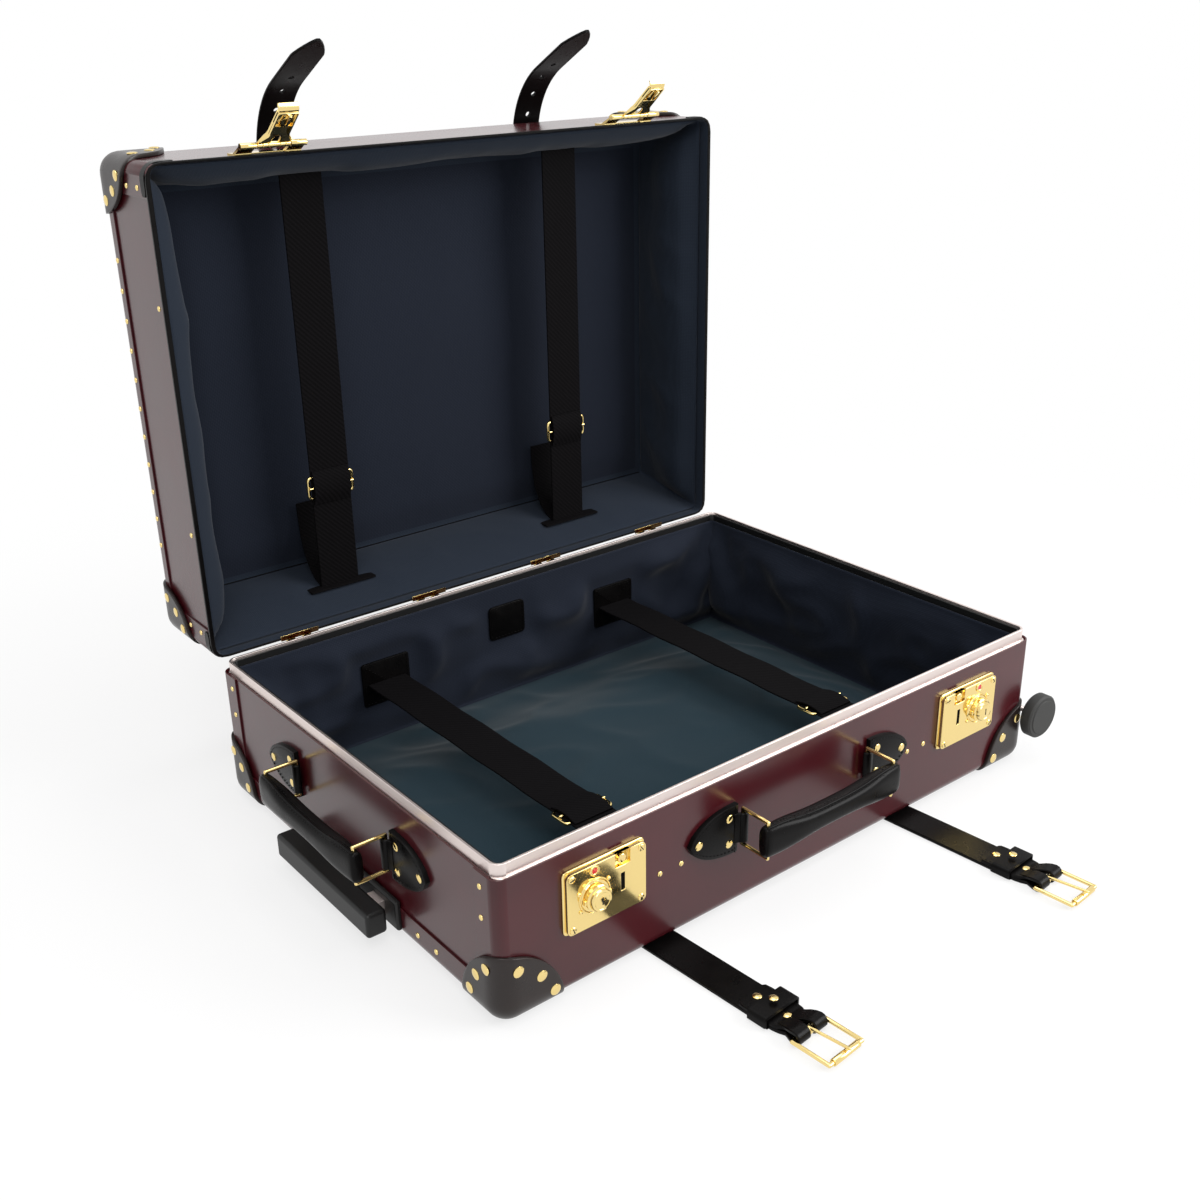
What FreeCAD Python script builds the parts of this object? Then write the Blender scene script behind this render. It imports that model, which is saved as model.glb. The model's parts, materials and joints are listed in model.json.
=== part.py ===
"""Cabin-size hard suitcase of riveted fibre board, standing open with its lid up.

Frame: millimetres, +Z up, the origin on the floor under the middle of the base tray, the front wall
with its two locks towards -Y, the hinges towards +Y and the wheels at the +X end.
The lid and everything on it is drawn shut and then turned open about the hinge pins.
"""
import FreeCAD, Part
import math
import os

os.makedirs("parts", exist_ok=True)

doc = FreeCAD.newDocument("suitcase")
sheet = doc.addObject("Spreadsheet::Sheet", "sizes")
V = FreeCAD.Vector
TURN = FreeCAD.Rotation
PLACE = FreeCAD.Placement

SIZES = (
    # Shells of fibre board
    ("case_length", 556.0), ("case_width", 397.0), ("base_height", 112.0), ("lid_height", 94.0),
    ("board", 1.5), ("edge_radius", 9.0), ("flange", 24.0), ("wrap", 25.0), ("lid_flange", 16.0),
    ("seam_gap", 0.3), ("clearance", 0.3), ("running_fit", 0.06), ("seat_fit", 0.02), ("cut_over", 5.0),
    # Aluminium valance and the black band inside it
    ("valance_inset", 3.4), ("valance_wall", 2.0), ("valance_rise", 9.3), ("valance_drop", 14.0),
    ("valance_radius", 8.0), ("seat_drop", 0.6), ("band_wall", 2.5), ("band_rise", 7.5),
    ("band_drop", 14.5),
    # Linings
    ("cloth", 1.2), ("lining_drop", 1.0), ("base_lining_taper", 1.3), ("lining_floor", 7.0),
    ("bulge_wall", 1.2), ("lid_lining_start", 10.5), ("lid_lining_taper", 22.0), ("lining_radius", 6.0),
    # Lid edge
    ("binding_wall", 0.8), ("binding_height", 3.0), ("cap_wall", 1.2), ("cap_reach", 25.0),
    ("cap_height", 8.0),
    # Leather corners and rivets
    ("leather", 3.5), ("corner_reach", 54.0), ("corner_shift", 5.0), ("big_rivet", 4.2),
    ("small_rivet", 2.2), ("rivet_head", 1.0), ("rivet_pitch", 24.0), ("rivet_row", 18.0),
    ("wrap_rivet_drop", 11.0), ("lid_rivet_step", 21.0), ("bottom_rivet_rise", 14.0),
    ("top_rivet_drop", 10.0), ("web_rivet_shift", 9.9), ("anchor_rivet", 3.4), ("belt_rivet", 3.2),
    # Hinges
    ("pin_out", 8.0), ("pin_below", 4.0), ("pin_radius", 1.1), ("knuckle_radius", 2.6),
    ("hinge_length", 38.0), ("hinge_inner", 67.0), ("hinge_inset", 79.0), ("hinge_leaf", 24.0),
    ("leaf_wall", 1.5), ("knuckle_step", 0.6), ("leaf_swell", 1.5), ("leaf_shoulder", 3.0),
    ("leaf_start", 4.0),
    # Locks and hasps
    ("lock_inset", 86.0), ("lock_level", 76.0), ("lock_length", 70.0), ("lock_height", 50.0),
    ("lock_wall", 5.0), ("knob_offset", 11.0), ("knob_radius", 12.0), ("knob_face", 7.0),
    ("knob_height", 9.0), ("knob_shaft", 4.0), ("bore_floor", 1.0), ("shaft_end_gap", 0.5),
    ("knob_rim", 1.6), ("knob_step", 2.0), ("knob_shoulder", 3.2), ("knob_chamfer", 1.0),
    ("key_width", 1.8), ("key_height", 7.0), ("key_depth", 2.5), ("slot_offset", 13.5),
    ("slot_width", 3.5), ("slot_height", 14.0), ("recess_width", 13.0), ("recess_height", 12.0),
    ("recess_depth", 3.5), ("dot_rise", 19.5), ("dot_radius", 3.2), ("dot_height", 0.6),
    ("screw_x", 30.0), ("screw_z", 20.5), ("hasp_leaf", 55.0), ("hasp_leaf_height", 14.0),
    ("hasp_leaf_start", 1.5), ("hasp_neck", 14.0), ("hasp_out", 7.5), ("hasp_up", -6.0),
    ("rim_rivet_place", 92.0), ("rim_rivet_rise", 15.5),
    ("hasp_length", 41.0), ("hasp_root", 28.0), ("hasp_tip", 17.0), ("hasp_wall", 1.8),
    ("hasp_lean", 39.0), ("barrel_radius", 2.4), ("hasp_shoulder", 9.0), ("hasp_slope", 4.0),
    ("lip_rise", 1.5), ("lip_out", 4.0), ("lip_edge", 1.0), ("lip_drop", 2.5), ("hook_width", 2.6),
    ("hook_height", 11.0), ("hook_below", 19.5), ("hook_short", 0.8), ("pin_end", 2.0),
    # Carrying handles
    ("handle_level", 73.0), ("ring_place", 66.5), ("ring_standoff", 4.5), ("ring_length", 25.5),
    ("ring_height", 29.5), ("ring_wire", 1.5), ("anchor_length", 46.0), ("anchor_height", 40.0),
    ("anchor_wall", 4.0), ("anchor_start", 4.0), ("anchor_knuckle", 4.49), ("knuckle_height", 25.0),
    ("bridge_length", 6.0), ("bridge_wall", 4.4), ("bridge_lap", 2.0), ("anchor_tip_rivet", 8.0),
    ("anchor_rivet_place", 12.5), ("anchor_rivet_rise", 10.4), ("grip_end", 25.0),
    ("grip_end_depth", 11.0), ("grip_swell", 2.0), ("grip_waist", 20.0), ("grip_depth", 17.0),
    ("grip_overhang", 5.0),
    # Pull handle
    ("pull_length", 140.0), ("pull_height", 20.0), ("pull_depth", 16.5), ("pull_level", 22.0),
    ("pull_gap", 5.0), ("bezel_length", 148.0), ("bezel_height", 24.0), ("bezel_wall", 4.0),
    ("tube_place", 50.0), ("tube_height", 12.0), ("tube_width", 16.0), ("tube_length", 430.0),
    ("sleeve_wall", 1.6), ("sleeve_length", 440.0), ("tube_play", 0.3), ("tube_wall", 1.2),
    ("tube_end", 2.0), ("bezel_radius", 2.0), ("pull_radius", 3.0), ("saddle_start", 10.0),
    ("saddle_length", 20.0), ("saddle_lap", 0.5), ("pull_drop", 2.0),
    # Wheels
    ("wheel_radius", 19.5), ("wheel_width", 11.5), ("wheel_out", 7.4), ("wheel_level", 43.0),
    ("wheel_stand", 5.3), ("axle_radius", 2.5), ("axle_in_wheel", 9.0), ("bracket_place", 125.0),
    ("bracket_width", 24.0), ("bracket_half", 13.0), ("bracket_end", 6.0), ("axle_end_gap", 0.5),
    ("tyre_chamfer", 1.5), ("disc_radius", 15.0), ("disc_slope", 0.5), ("disc_rise", 0.8),
    # Belts and buckles
    ("belt_place", 130.0), ("belt_shift", 6.5), ("belt_skew", 4.3), ("belt_width", 29.0),
    ("belt_wall", 2.8), ("belt_lift", 0.2), ("belt_pivot", 3.8), ("belt_under", 170.0),
    ("bar_place", 127.0), ("return_start", 78.0), ("keeper_start", 89.0), ("keeper_end", 105.0),
    ("keeper_wall", 2.0), ("keeper_gap", 4.7), ("buckle_length", 30.0), ("buckle_half", 16.6),
    ("buckle_wire", 1.6), ("roller_radius", 2.6), ("roller_length", 26.0), ("prong_wire", 1.1),
    ("prong_slot", 7.0), ("prong_eye", 3.2), ("prong_eye_half", 2.0), ("prong_over", 3.0),
    ("prong_lift", 1.4), ("bar_play", 0.15), ("fold_flat", 4.0), ("fold_slope", 14.0),
    ("belt_rivet_end", 5.0), ("belt_rivet_gap", 4.0), ("belt_seat", 0.1), ("hole_start", 22.0),
    ("hole_radius", 2.2), ("lid_belt_place", 130.0), ("tongue_start", 10.0), ("tongue_bend", 30.0),
    ("tongue_angle", 58.0), ("tongue_length", 99.0), ("lid_belt_back", 150.0), ("hole_pitch", 17.0),
    # Inner webbing, sliders and patches
    ("web_place", 131.5), ("web_width", 38.0), ("web_wall", 1.6), ("base_web_level", 62.6),
    ("lid_web_depth", 48.0), ("web_seat", 0.1), ("lid_web_gap", 0.8), ("slider_length", 22.0),
    ("slider_margin", 4.0), ("slider_wall", 5.6), ("base_slider_place", 98.0),
    ("lid_slider_place", 88.5), ("patch_width", 48.0), ("patch_height", 42.0), ("patch_wall", 1.8),
    ("label_width", 40.0), ("label_height", 34.0), ("label_level", 82.0), ("label_shift", 2.0),
    ("label_wall", 1.4),
)


class Dim:
    """A length that carries its number and the sheet expression it comes from."""

    def __init__(self, value, text):
        self.value = value
        self.text = text

    def _with(self, other, sign, result):
        return Dim(result, "(%s %s %s)" % (self.text, sign, other.text))

    def __add__(self, other):
        other = dim(other)
        return self._with(other, "+", self.value + other.value)

    def __radd__(self, other):
        return dim(other) + self

    def __sub__(self, other):
        other = dim(other)
        return self._with(other, "-", self.value - other.value)

    def __rsub__(self, other):
        return dim(other) - self

    def __mul__(self, other):
        other = dim(other)
        return self._with(other, "*", self.value * other.value)

    def __rmul__(self, other):
        return dim(other) * self

    def __truediv__(self, other):
        other = dim(other)
        return self._with(other, "/", self.value / other.value)

    def __neg__(self):
        return dim(0.0) - self

    def __float__(self):
        return self.value


def dim(length):
    """A plain number as a Dim, or a Dim as it is."""
    if isinstance(length, Dim):
        return length
    return Dim(float(length), "%.6f" % float(length))


class Sizes:
    """The driving sizes by name, each tied to its cell."""


d = Sizes()
for row, (alias, number) in enumerate(SIZES, start=1):
    sheet.set("A%d" % row, alias)
    sheet.set("B%d" % row, str(number))
    sheet.setAlias("B%d" % row, alias)
    setattr(d, alias, Dim(number, "sizes." + alias))
doc.recompute()


def tie(obj, name, length):
    """Bind one property of an object to the sheet."""
    obj.setExpression(name, dim(length).text)


def move_to(obj, corner):
    """Bind where an object stands to the sheet."""
    for axis, length in zip("xyz", corner):
        tie(obj, "Placement.Base." + axis, length)


def box(name, low, high):
    """A block between two corners."""
    block = doc.addObject("Part::Box", name)
    for side, near, far in zip(("Length", "Width", "Height"), low, high):
        tie(block, side, dim(far) - near)
    move_to(block, low)
    return block


def rod(name, start, axis, radius, length):
    """A round bar from a start point along +X, +Y or +Z."""
    bar = doc.addObject("Part::Cylinder", name)
    bar.Placement = PLACE(V(), TURN(V(0, 0, 1), V(axis == "x", axis == "y", axis == "z")))
    tie(bar, "Radius", radius)
    tie(bar, "Height", length)
    move_to(bar, start)
    return bar


def ball(name, centre, radius):
    """A sphere round a centre."""
    sphere = doc.addObject("Part::Sphere", name)
    tie(sphere, "Radius", radius)
    move_to(sphere, centre)
    return sphere


def group(name, members):
    """Several solids kept apart in one object."""
    together = doc.addObject("Part::Compound", name)
    together.Links = list(members)
    return together


def cut(name, base, *tools):
    """A base with tools that do not touch each other taken out of it."""
    left = doc.addObject("Part::Cut", name)
    left.Base = base
    left.Tool = tools[0] if len(tools) == 1 else group(name + "_tools", tools)
    return left


def fuse(name, *members):
    """Members joined into one solid."""
    whole = doc.addObject("Part::MultiFuse", name)
    whole.Shapes = list(members)
    whole.Refine = True
    return whole


def common(name, base, tool):
    """What two shapes share."""
    shared = doc.addObject("Part::Common", name)
    shared.Base = base
    shared.Tool = tool
    return shared


def rounded(name, base, radius, chosen):
    """A base with its chosen edges rounded."""
    doc.recompute()
    soft = doc.addObject("Part::Fillet", name)
    soft.Base = base
    reach = float(radius)
    soft.Edges = [(i, reach, reach) for i, edge in enumerate(base.Shape.Edges, start=1) if chosen(edge)]
    return soft


def off_level(level):
    """Chooser of every edge that does not lie in one level."""
    height = float(level)
    return lambda edge: any(abs(v.Z - height) > 0.001 for v in edge.Vertexes)


def upright(edge):
    """True for an edge that runs along Z."""
    ends = edge.Vertexes
    return abs(ends[0].X - ends[1].X) < 0.001 and abs(ends[0].Y - ends[1].Y) < 0.001


def slab(name, half_x, half_y, low, high, radius):
    """A flat block round the Z axis with rounded upright edges."""
    block = box(name + "_block", (-half_x, -half_y, low), (half_x, half_y, high))
    return rounded(name, block, radius, upright)


def ring(name, half_x, half_y, low, high, radius, wall):
    """A rectangular band round the Z axis."""
    whole = slab(name + "_outside", half_x, half_y, low, high, radius)
    hollow = slab(name + "_inside", half_x - wall, half_y - wall, dim(low) - 1, dim(high) + 1, radius - wall)
    return cut(name, whole, hollow)


def solid_from(name, shape):
    """An object for a shape that no primitive gives."""
    piece = doc.addObject("Part::Feature", name)
    piece.Shape = shape
    return piece


def outline_yz(points, x_low, x_high):
    """A straight bar along X whose section is a list of Y, Z points."""
    corners = [V(x_low, y, z) for y, z in points]
    return Part.Face(Part.makePolygon(corners + corners[:1])).extrude(V(x_high - x_low, 0, 0))


def bar_x(y, z, radius, x_low, x_high):
    """A round bar along X."""
    return Part.makeCylinder(radius, x_high - x_low, V(x_low, y, z), V(1, 0, 0))


def new_body(name):
    """An empty body for sketched features."""
    return doc.addObject("PartDesign::Body", name)


def sketch_on(body, name, role, curves, offset=0.0):
    """A sketch of given curves on one of a body's origin planes."""
    plane = next(item for item in body.Origin.OriginFeatures if item.Role == role)
    drawing = body.newObject("Sketcher::SketchObject", name)
    drawing.AttachmentSupport = [(plane, "")]
    drawing.MapMode = "FlatFace"
    drawing.AttachmentOffset = PLACE(V(0, 0, offset), TURN())
    drawing.addGeometry(curves, False)
    return drawing


def loop(points):
    """A closed chain of straight sketch lines."""
    corners = [V(a, b, 0) for a, b in points]
    return [Part.LineSegment(start, end) for start, end in zip(corners, corners[1:] + corners[:1])]


def circle(a, b, radius):
    """A full sketch circle."""
    return [Part.Circle(V(a, b, 0), V(0, 0, 1), float(radius))]


def pad(body, name, drawing, length, backwards=False):
    """A sketch raised by a length."""
    raised = body.newObject("PartDesign::Pad", name)
    raised.Profile = drawing
    tie(raised, "Length", length)
    raised.Reversed = backwards
    return raised


def pocket(body, name, drawing, length, backwards=False):
    """A sketch sunk by a length."""
    sunk = body.newObject("PartDesign::Pocket", name)
    sunk.Profile = drawing
    tie(sunk, "Length", length)
    sunk.Reversed = backwards
    return sunk


def spun(body, name, drawing):
    """A sketch turned right round its own upright axis."""
    turned = body.newObject("PartDesign::Revolution", name)
    turned.Profile = drawing
    turned.ReferenceAxis = (drawing, ["V_Axis"])
    turned.Angle = 360.0
    return turned


# Levels and half sizes that many pieces share
half_x = d.case_length / 2
half_y = d.case_width / 2
under = d.leather
edge = under + d.base_height
lid_edge = edge + d.seam_gap
lid_top = lid_edge + d.lid_height
panel_x = half_x - d.board
inner_x = half_x - 2 * d.board
inner_y = half_y - d.board
pin_y = half_y + d.pin_out
pin_z = edge - d.pin_below
HINGE = V(0, pin_y.value, pin_z.value)
LID_OPEN = PLACE(V(), TURN(V(1, 0, 0), -90), HINGE)
SIDES = ((-1, "left"), (1, "right"))
nodes = []


def node(obj, label, placement=None):
    """Name a finished piece and put it in the list to write."""
    obj.Label = label
    if placement is not None:
        obj.Placement = placement
    nodes.append(obj)
    return obj


def lid_node(members, label):
    """Name a finished piece of the lid and turn it open."""
    return node(group(label + "_piece", members), label, LID_OPEN)


# Holes in the left end for the two pull tubes
def tube_windows(name, play):
    """Blocks the size of the two pull tubes and some play, through the left end."""
    blocks = []
    for side, word in SIDES:
        middle = side * d.tube_place
        low = (-half_x - d.flange, middle - d.tube_width / 2 - play, d.pull_level - d.tube_height / 2 - play)
        high = (-half_x + d.flange, middle + d.tube_width / 2 + play,
                d.pull_level + d.tube_height / 2 + play)
        blocks.append(box("%s_%s" % (name, word), low, high))
    return blocks


# Base tray: one board bent up front and back and folded round on to the ends
base_block = box("base_block", (-half_x, -half_y, under), (half_x, half_y, edge))
base_outside = rounded("base_outside", base_block, d.edge_radius, off_level(edge))
base_mouth = edge + d.cut_over
base_hollow_block = box("base_hollow_block", (-panel_x, -inner_y, under + d.board),
                        (panel_x, inner_y, base_mouth))
base_hollow = rounded("base_hollow", base_hollow_block, d.edge_radius - d.board, off_level(base_mouth))
base_window_right = box("base_window_right", (panel_x - 1, -half_y + d.wrap, under + d.flange),
                        (half_x + 1, half_y - d.wrap, base_mouth))
base_window_left = box("base_window_left", (-half_x - 1, -half_y + d.wrap, under + d.flange),
                       (-panel_x + 1, half_y - d.wrap, base_mouth))
base_open = cut("base_open", base_outside, base_hollow)
base_framed = cut("base_framed", base_open, base_window_left, base_window_right)
node(cut("base_tray", base_framed, *tube_windows("tray_tube_way", d.tube_play)), "base_tray")

panel_half = half_y - d.edge_radius
panel_low = under + d.edge_radius
end_left = box("end_left", (-panel_x, -panel_half, panel_low), (-inner_x, panel_half, edge))
end_right = box("end_right", (inner_x, -panel_half, panel_low), (panel_x, panel_half, edge))
end_left_cut = cut("end_left_cut", end_left, *tube_windows("end_tube_way", d.tube_play))
node(group("base_end_pair", (end_left_cut, end_right)), "base_end_panels")

# Valance: a stepped aluminium frame standing inside the front, back and end walls
valance_x = half_x - d.valance_inset
valance_y = half_y - d.valance_inset
seat_top = edge - d.seat_drop
valance_low = edge - d.valance_drop
valance_high = edge + d.valance_rise
valance_seat = cut("valance_seat",
                   slab("valance_seat_outside", inner_x - d.seat_fit, inner_y - d.seat_fit, valance_low,
                        seat_top,
                        d.valance_radius),
                   slab("valance_seat_inside", valance_x - d.valance_wall, valance_y - d.valance_wall,
                        valance_low - 1, seat_top + 1, d.valance_radius - d.valance_wall))
valance_stand = ring("valance_stand", valance_x, valance_y, valance_low, valance_high, d.valance_radius,
                     d.valance_wall)
node(fuse("valance_whole", valance_seat, valance_stand), "base_valance")

band_x = valance_x - d.valance_wall - d.seat_fit
band_y = valance_y - d.valance_wall - d.seat_fit
node(ring("band_whole", band_x, band_y, edge - d.band_drop, edge + d.band_rise,
          d.valance_radius - d.valance_wall, d.band_wall), "base_edge_band")


def flat_wire(half_a, half_b, radius, level):
    """A rectangle with rounded corners lying at one level."""
    face = Part.makePlane(2 * half_a, 2 * half_b, V(-half_a, -half_b, level))
    block = face.extrude(V(0, 0, 1))
    soft = block.makeFillet(radius, [e for e in block.Edges if upright(e)])
    flat = [f for f in soft.Faces if abs(f.CenterOfMass.z - level) < 0.001]
    return flat[0].OuterWire


def tray(half_a, half_b, mouth, taper, floor, wall, radius):
    """A thin cloth tray between its mouth level and its floor level, narrower at the floor."""
    reach = 1.0 if mouth > floor else -1.0
    outside = Part.makeLoft([flat_wire(half_a, half_b, radius, mouth),
                             flat_wire(half_a - taper, half_b - taper, radius, floor)], True, True)
    shrink = wall - wall * taper / abs(mouth - floor)
    deep = floor + reach * wall
    high = mouth + reach * wall
    inside = Part.makeLoft([flat_wire(half_a - shrink, half_b - shrink, radius, high),
                            flat_wire(half_a - shrink - taper, half_b - shrink - taper, radius, deep)],
                            True, True)
    return outside.cut(inside)


# Base lining, raised over the two pull tube sleeves
sleeve_half = d.tube_width / 2 + d.tube_play + d.sleeve_wall
sleeve_top = d.pull_level + d.tube_height / 2 + d.tube_play + d.sleeve_wall
sleeve_bottom = d.pull_level - d.tube_height / 2 - d.tube_play - d.sleeve_wall
sleeve_end = -inner_x + d.sleeve_length
lining_x = band_x - d.band_wall - d.clearance
lining_y = band_y - d.band_wall - d.clearance
lining_mouth = edge - d.lining_drop
base_cloth = solid_from("base_cloth", tray(lining_x.value, lining_y.value, lining_mouth.value,
                                           d.base_lining_taper.value, d.lining_floor.value, d.cloth.value,
                                           d.lining_radius.value))
bulges = []
hollows = []
for side, word in SIDES:
    middle = side * d.tube_place
    half = sleeve_half + d.clearance
    skin = half + d.bulge_wall
    bulges.append(box("bulge_" + word, (-lining_x + d.base_lining_taper, middle - skin, d.lining_floor),
                      (sleeve_end + d.clearance + d.bulge_wall, middle + skin,
                       sleeve_top + d.clearance + d.bulge_wall)))
    hollows.append(box("bulge_hollow_" + word, (-half_x, middle - half, d.lining_floor - 1),
                       (sleeve_end + d.clearance, middle + half, sleeve_top + d.clearance)))
base_cloth_whole = fuse("base_cloth_whole", base_cloth, *bulges)
node(cut("base_cloth_cut", base_cloth_whole, *hollows), "base_lining")

# Lid shell, the same construction turned over
lid_wall_start = lid_edge + d.binding_wall
lid_block = box("lid_block", (-half_x, -half_y, lid_wall_start), (half_x, half_y, lid_top))
lid_outside = rounded("lid_outside", lid_block, d.edge_radius, off_level(lid_wall_start))
lid_mouth = lid_edge - d.cut_over
lid_hollow_block = box("lid_hollow_block", (-panel_x, -inner_y, lid_mouth),
                       (panel_x, inner_y, lid_top - d.board))
lid_hollow = rounded("lid_hollow", lid_hollow_block, d.edge_radius - d.board, off_level(lid_mouth))
lid_window_right = box("lid_window_right", (panel_x - 1, -half_y + d.wrap, lid_mouth),
                       (half_x + 1, half_y - d.wrap, lid_top - d.lid_flange))
lid_window_left = box("lid_window_left", (-half_x - 1, -half_y + d.wrap, lid_mouth),
                      (-panel_x + 1, half_y - d.wrap, lid_top - d.lid_flange))
lid_open_shell = cut("lid_open_shell", lid_outside, lid_hollow)
lid_node([cut("lid_framed", lid_open_shell, lid_window_left, lid_window_right)], "lid_shell")
lid_panels = [box("lid_end_" + word,
                  ((inner_x if side > 0 else -panel_x), -panel_half, lid_wall_start),
                  ((panel_x if side > 0 else -inner_x), panel_half, lid_top - d.edge_radius))
              for side, word in SIDES]
lid_node(lid_panels, "lid_end_panels")

# Lid edge binding and the four caps on the corners of the edge
bind_x = half_x + d.binding_wall
bind_y = half_y + d.binding_wall
bind_under = cut("bind_under",
                 slab("bind_under_outside", bind_x, bind_y, lid_edge, lid_wall_start,
                      d.edge_radius + d.binding_wall),
                 slab("bind_under_inside", inner_x, inner_y, lid_edge - 1, lid_wall_start + 1,
                      d.edge_radius - d.board))
bind_skirt = ring("bind_skirt", bind_x, bind_y, lid_edge, lid_edge + d.binding_height,
                  d.edge_radius + d.binding_wall, d.binding_wall)
lid_node([fuse("bind_whole", bind_under, bind_skirt)], "lid_binding")
cap_low = lid_edge + d.binding_height
cap_layer = ring("cap_layer", half_x + d.cap_wall, half_y + d.cap_wall, cap_low, cap_low + d.cap_height,
                 d.edge_radius + d.cap_wall, d.cap_wall)
cap_zones = []
for side_x, word_x in SIDES:
    for side_y, word_y in ((-1, "front"), (1, "back")):
        far_x = side_x * (half_x + d.cut_over)
        near_x = side_x * (half_x - d.cap_reach)
        far_y = side_y * (half_y + d.cut_over)
        near_y = side_y * (half_y - d.cap_reach)
        low = (far_x if side_x < 0 else near_x, far_y if side_y < 0 else near_y, cap_low - 1)
        high = (near_x if side_x < 0 else far_x, near_y if side_y < 0 else far_y, cap_low + d.cap_height + 1)
        cap_zones.append(box("cap_zone_%s_%s" % (word_y, word_x), low, high))
lid_node([common("cap_set", cap_layer, group("cap_zones", cap_zones))], "lid_edge_caps")

# Lid lining: a cloth tray that narrows towards the top of the lid
lid_cloth_start = lid_edge + d.lid_lining_start
lid_cloth_floor = lid_top - d.board - 2 * d.clearance
lid_cloth = solid_from("lid_cloth", tray(inner_x.value - d.clearance.value,
                                         inner_y.value - d.clearance.value,
                                         lid_cloth_start.value, d.lid_lining_taper.value,
                                         lid_cloth_floor.value,
                                         d.cloth.value, d.lining_radius.value))
lid_node([lid_cloth], "lid_lining")


# Leather corners: pieces of a leather layer over the shell, each inside a ball round its corner
def leather_corners(name, skin_low, skin_high, shell, ball_level, flat_level):
    """Four leather corners over the shell, rounded like it, with round outlines."""
    block = box(name + "_block", (-half_x - d.leather, -half_y - d.leather, skin_low),
                (half_x + d.leather, half_y + d.leather, skin_high))
    skin = rounded(name + "_skin", block, d.edge_radius + d.leather, off_level(flat_level))
    layer = cut(name + "_layer", skin, shell)
    zones = []
    for side_x, word_x in SIDES:
        for side_y, word_y in ((-1, "front"), (1, "back")):
            centre = (side_x * (half_x + d.leather), side_y * (half_y + d.leather + d.corner_shift),
                      ball_level)
            zones.append(ball("%s_%s_%s" % (name, word_y, word_x), centre, d.corner_reach))
    return common(name, layer, group(name + "_zones", zones))


node(leather_corners("base_corner", 0.0, edge, base_outside, d.corner_shift, edge), "base_corners")
lid_node([leather_corners("lid_corner", lid_wall_start, lid_top + d.leather, lid_outside,
                          lid_top + d.leather - d.corner_shift, lid_wall_start)], "lid_corners")

# Rivets
FRONT_PLACES = ((0.296, 0.815), (0.639, 0.583), (0.833, 0.278))
END_PLACES = ((0.278, 0.833), (0.5, 0.63), (0.657, 0.333))
HEAD_TAPER = 0.6
BIG = d.big_rivet.value
SMALL = d.small_rivet.value
HEAD = d.rivet_head.value


def rivet(point, out, radius):
    """One flat-domed rivet head."""
    return Part.makeCone(radius, HEAD_TAPER * radius, HEAD, point, out)


def corner_rivets(level_of):
    """The six rivets of each leather corner; level_of turns a height above the corner into a level."""
    heads = []
    reach = d.corner_reach.value
    skin_x = half_x.value + d.leather.value
    skin_y = half_y.value + d.leather.value
    for side_x, word in SIDES:
        for side_y in (-1, 1):
            for along, height in FRONT_PLACES:
                spot = V(side_x * (skin_x - along * reach), side_y * skin_y, level_of(height * reach))
                heads.append(rivet(spot, V(0, side_y, 0), BIG))
            for along, height in END_PLACES:
                spot = V(side_x * skin_x, side_y * (skin_y - along * reach), level_of(height * reach))
                heads.append(rivet(spot, V(side_x, 0, 0), BIG))
    return heads


base_heads = corner_rivets(lambda height: height)
lid_heads = corner_rivets(lambda height: lid_top.value + d.leather.value - height)
row_y = half_y.value - d.rivet_row.value
low_row = under.value + d.bottom_rivet_rise.value
high_row = lid_top.value - d.top_rivet_drop.value
pitch = d.rivet_pitch.value
for side_x, word in SIDES:
    wall = side_x * half_x.value
    for side_y in (-1, 1):
        for step in range(2):
            drop = d.wrap_rivet_drop.value + step * pitch
            depth = (step + 1) * d.lid_rivet_step.value
            base_heads.append(rivet(V(wall, side_y * row_y, edge.value - drop), V(side_x, 0, 0), SMALL))
            lid_heads.append(rivet(V(wall, side_y * row_y, lid_edge.value + depth), V(side_x, 0, 0), SMALL))
    for step in range(-5, 6):
        along = step * pitch
        if side_x > 0 or abs(along) > d.bezel_length.value / 2 + 2 * SMALL:
            base_heads.append(rivet(V(wall, along, low_row), V(side_x, 0, 0), SMALL))
        lid_heads.append(rivet(V(wall, along, high_row), V(side_x, 0, 0), SMALL))
    for sign, way in SIDES:
        spot = V(side_x * panel_x.value, sign * d.rim_rivet_place.value,
                 lid_edge.value + d.rim_rivet_rise.value)
        lid_heads.append(rivet(spot, V(side_x, 0, 0), SMALL))
for side_x, word in SIDES:
    for sign, way in SIDES:
        shift = sign * d.web_rivet_shift.value
        base_heads.append(rivet(V(side_x * d.web_place.value + shift, -half_y.value, d.base_web_level.value),
                                V(0, -1, 0), SMALL))
lid_node([solid_from("lid_rivet_set", Part.makeCompound(lid_heads))], "lid_rivets")

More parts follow.
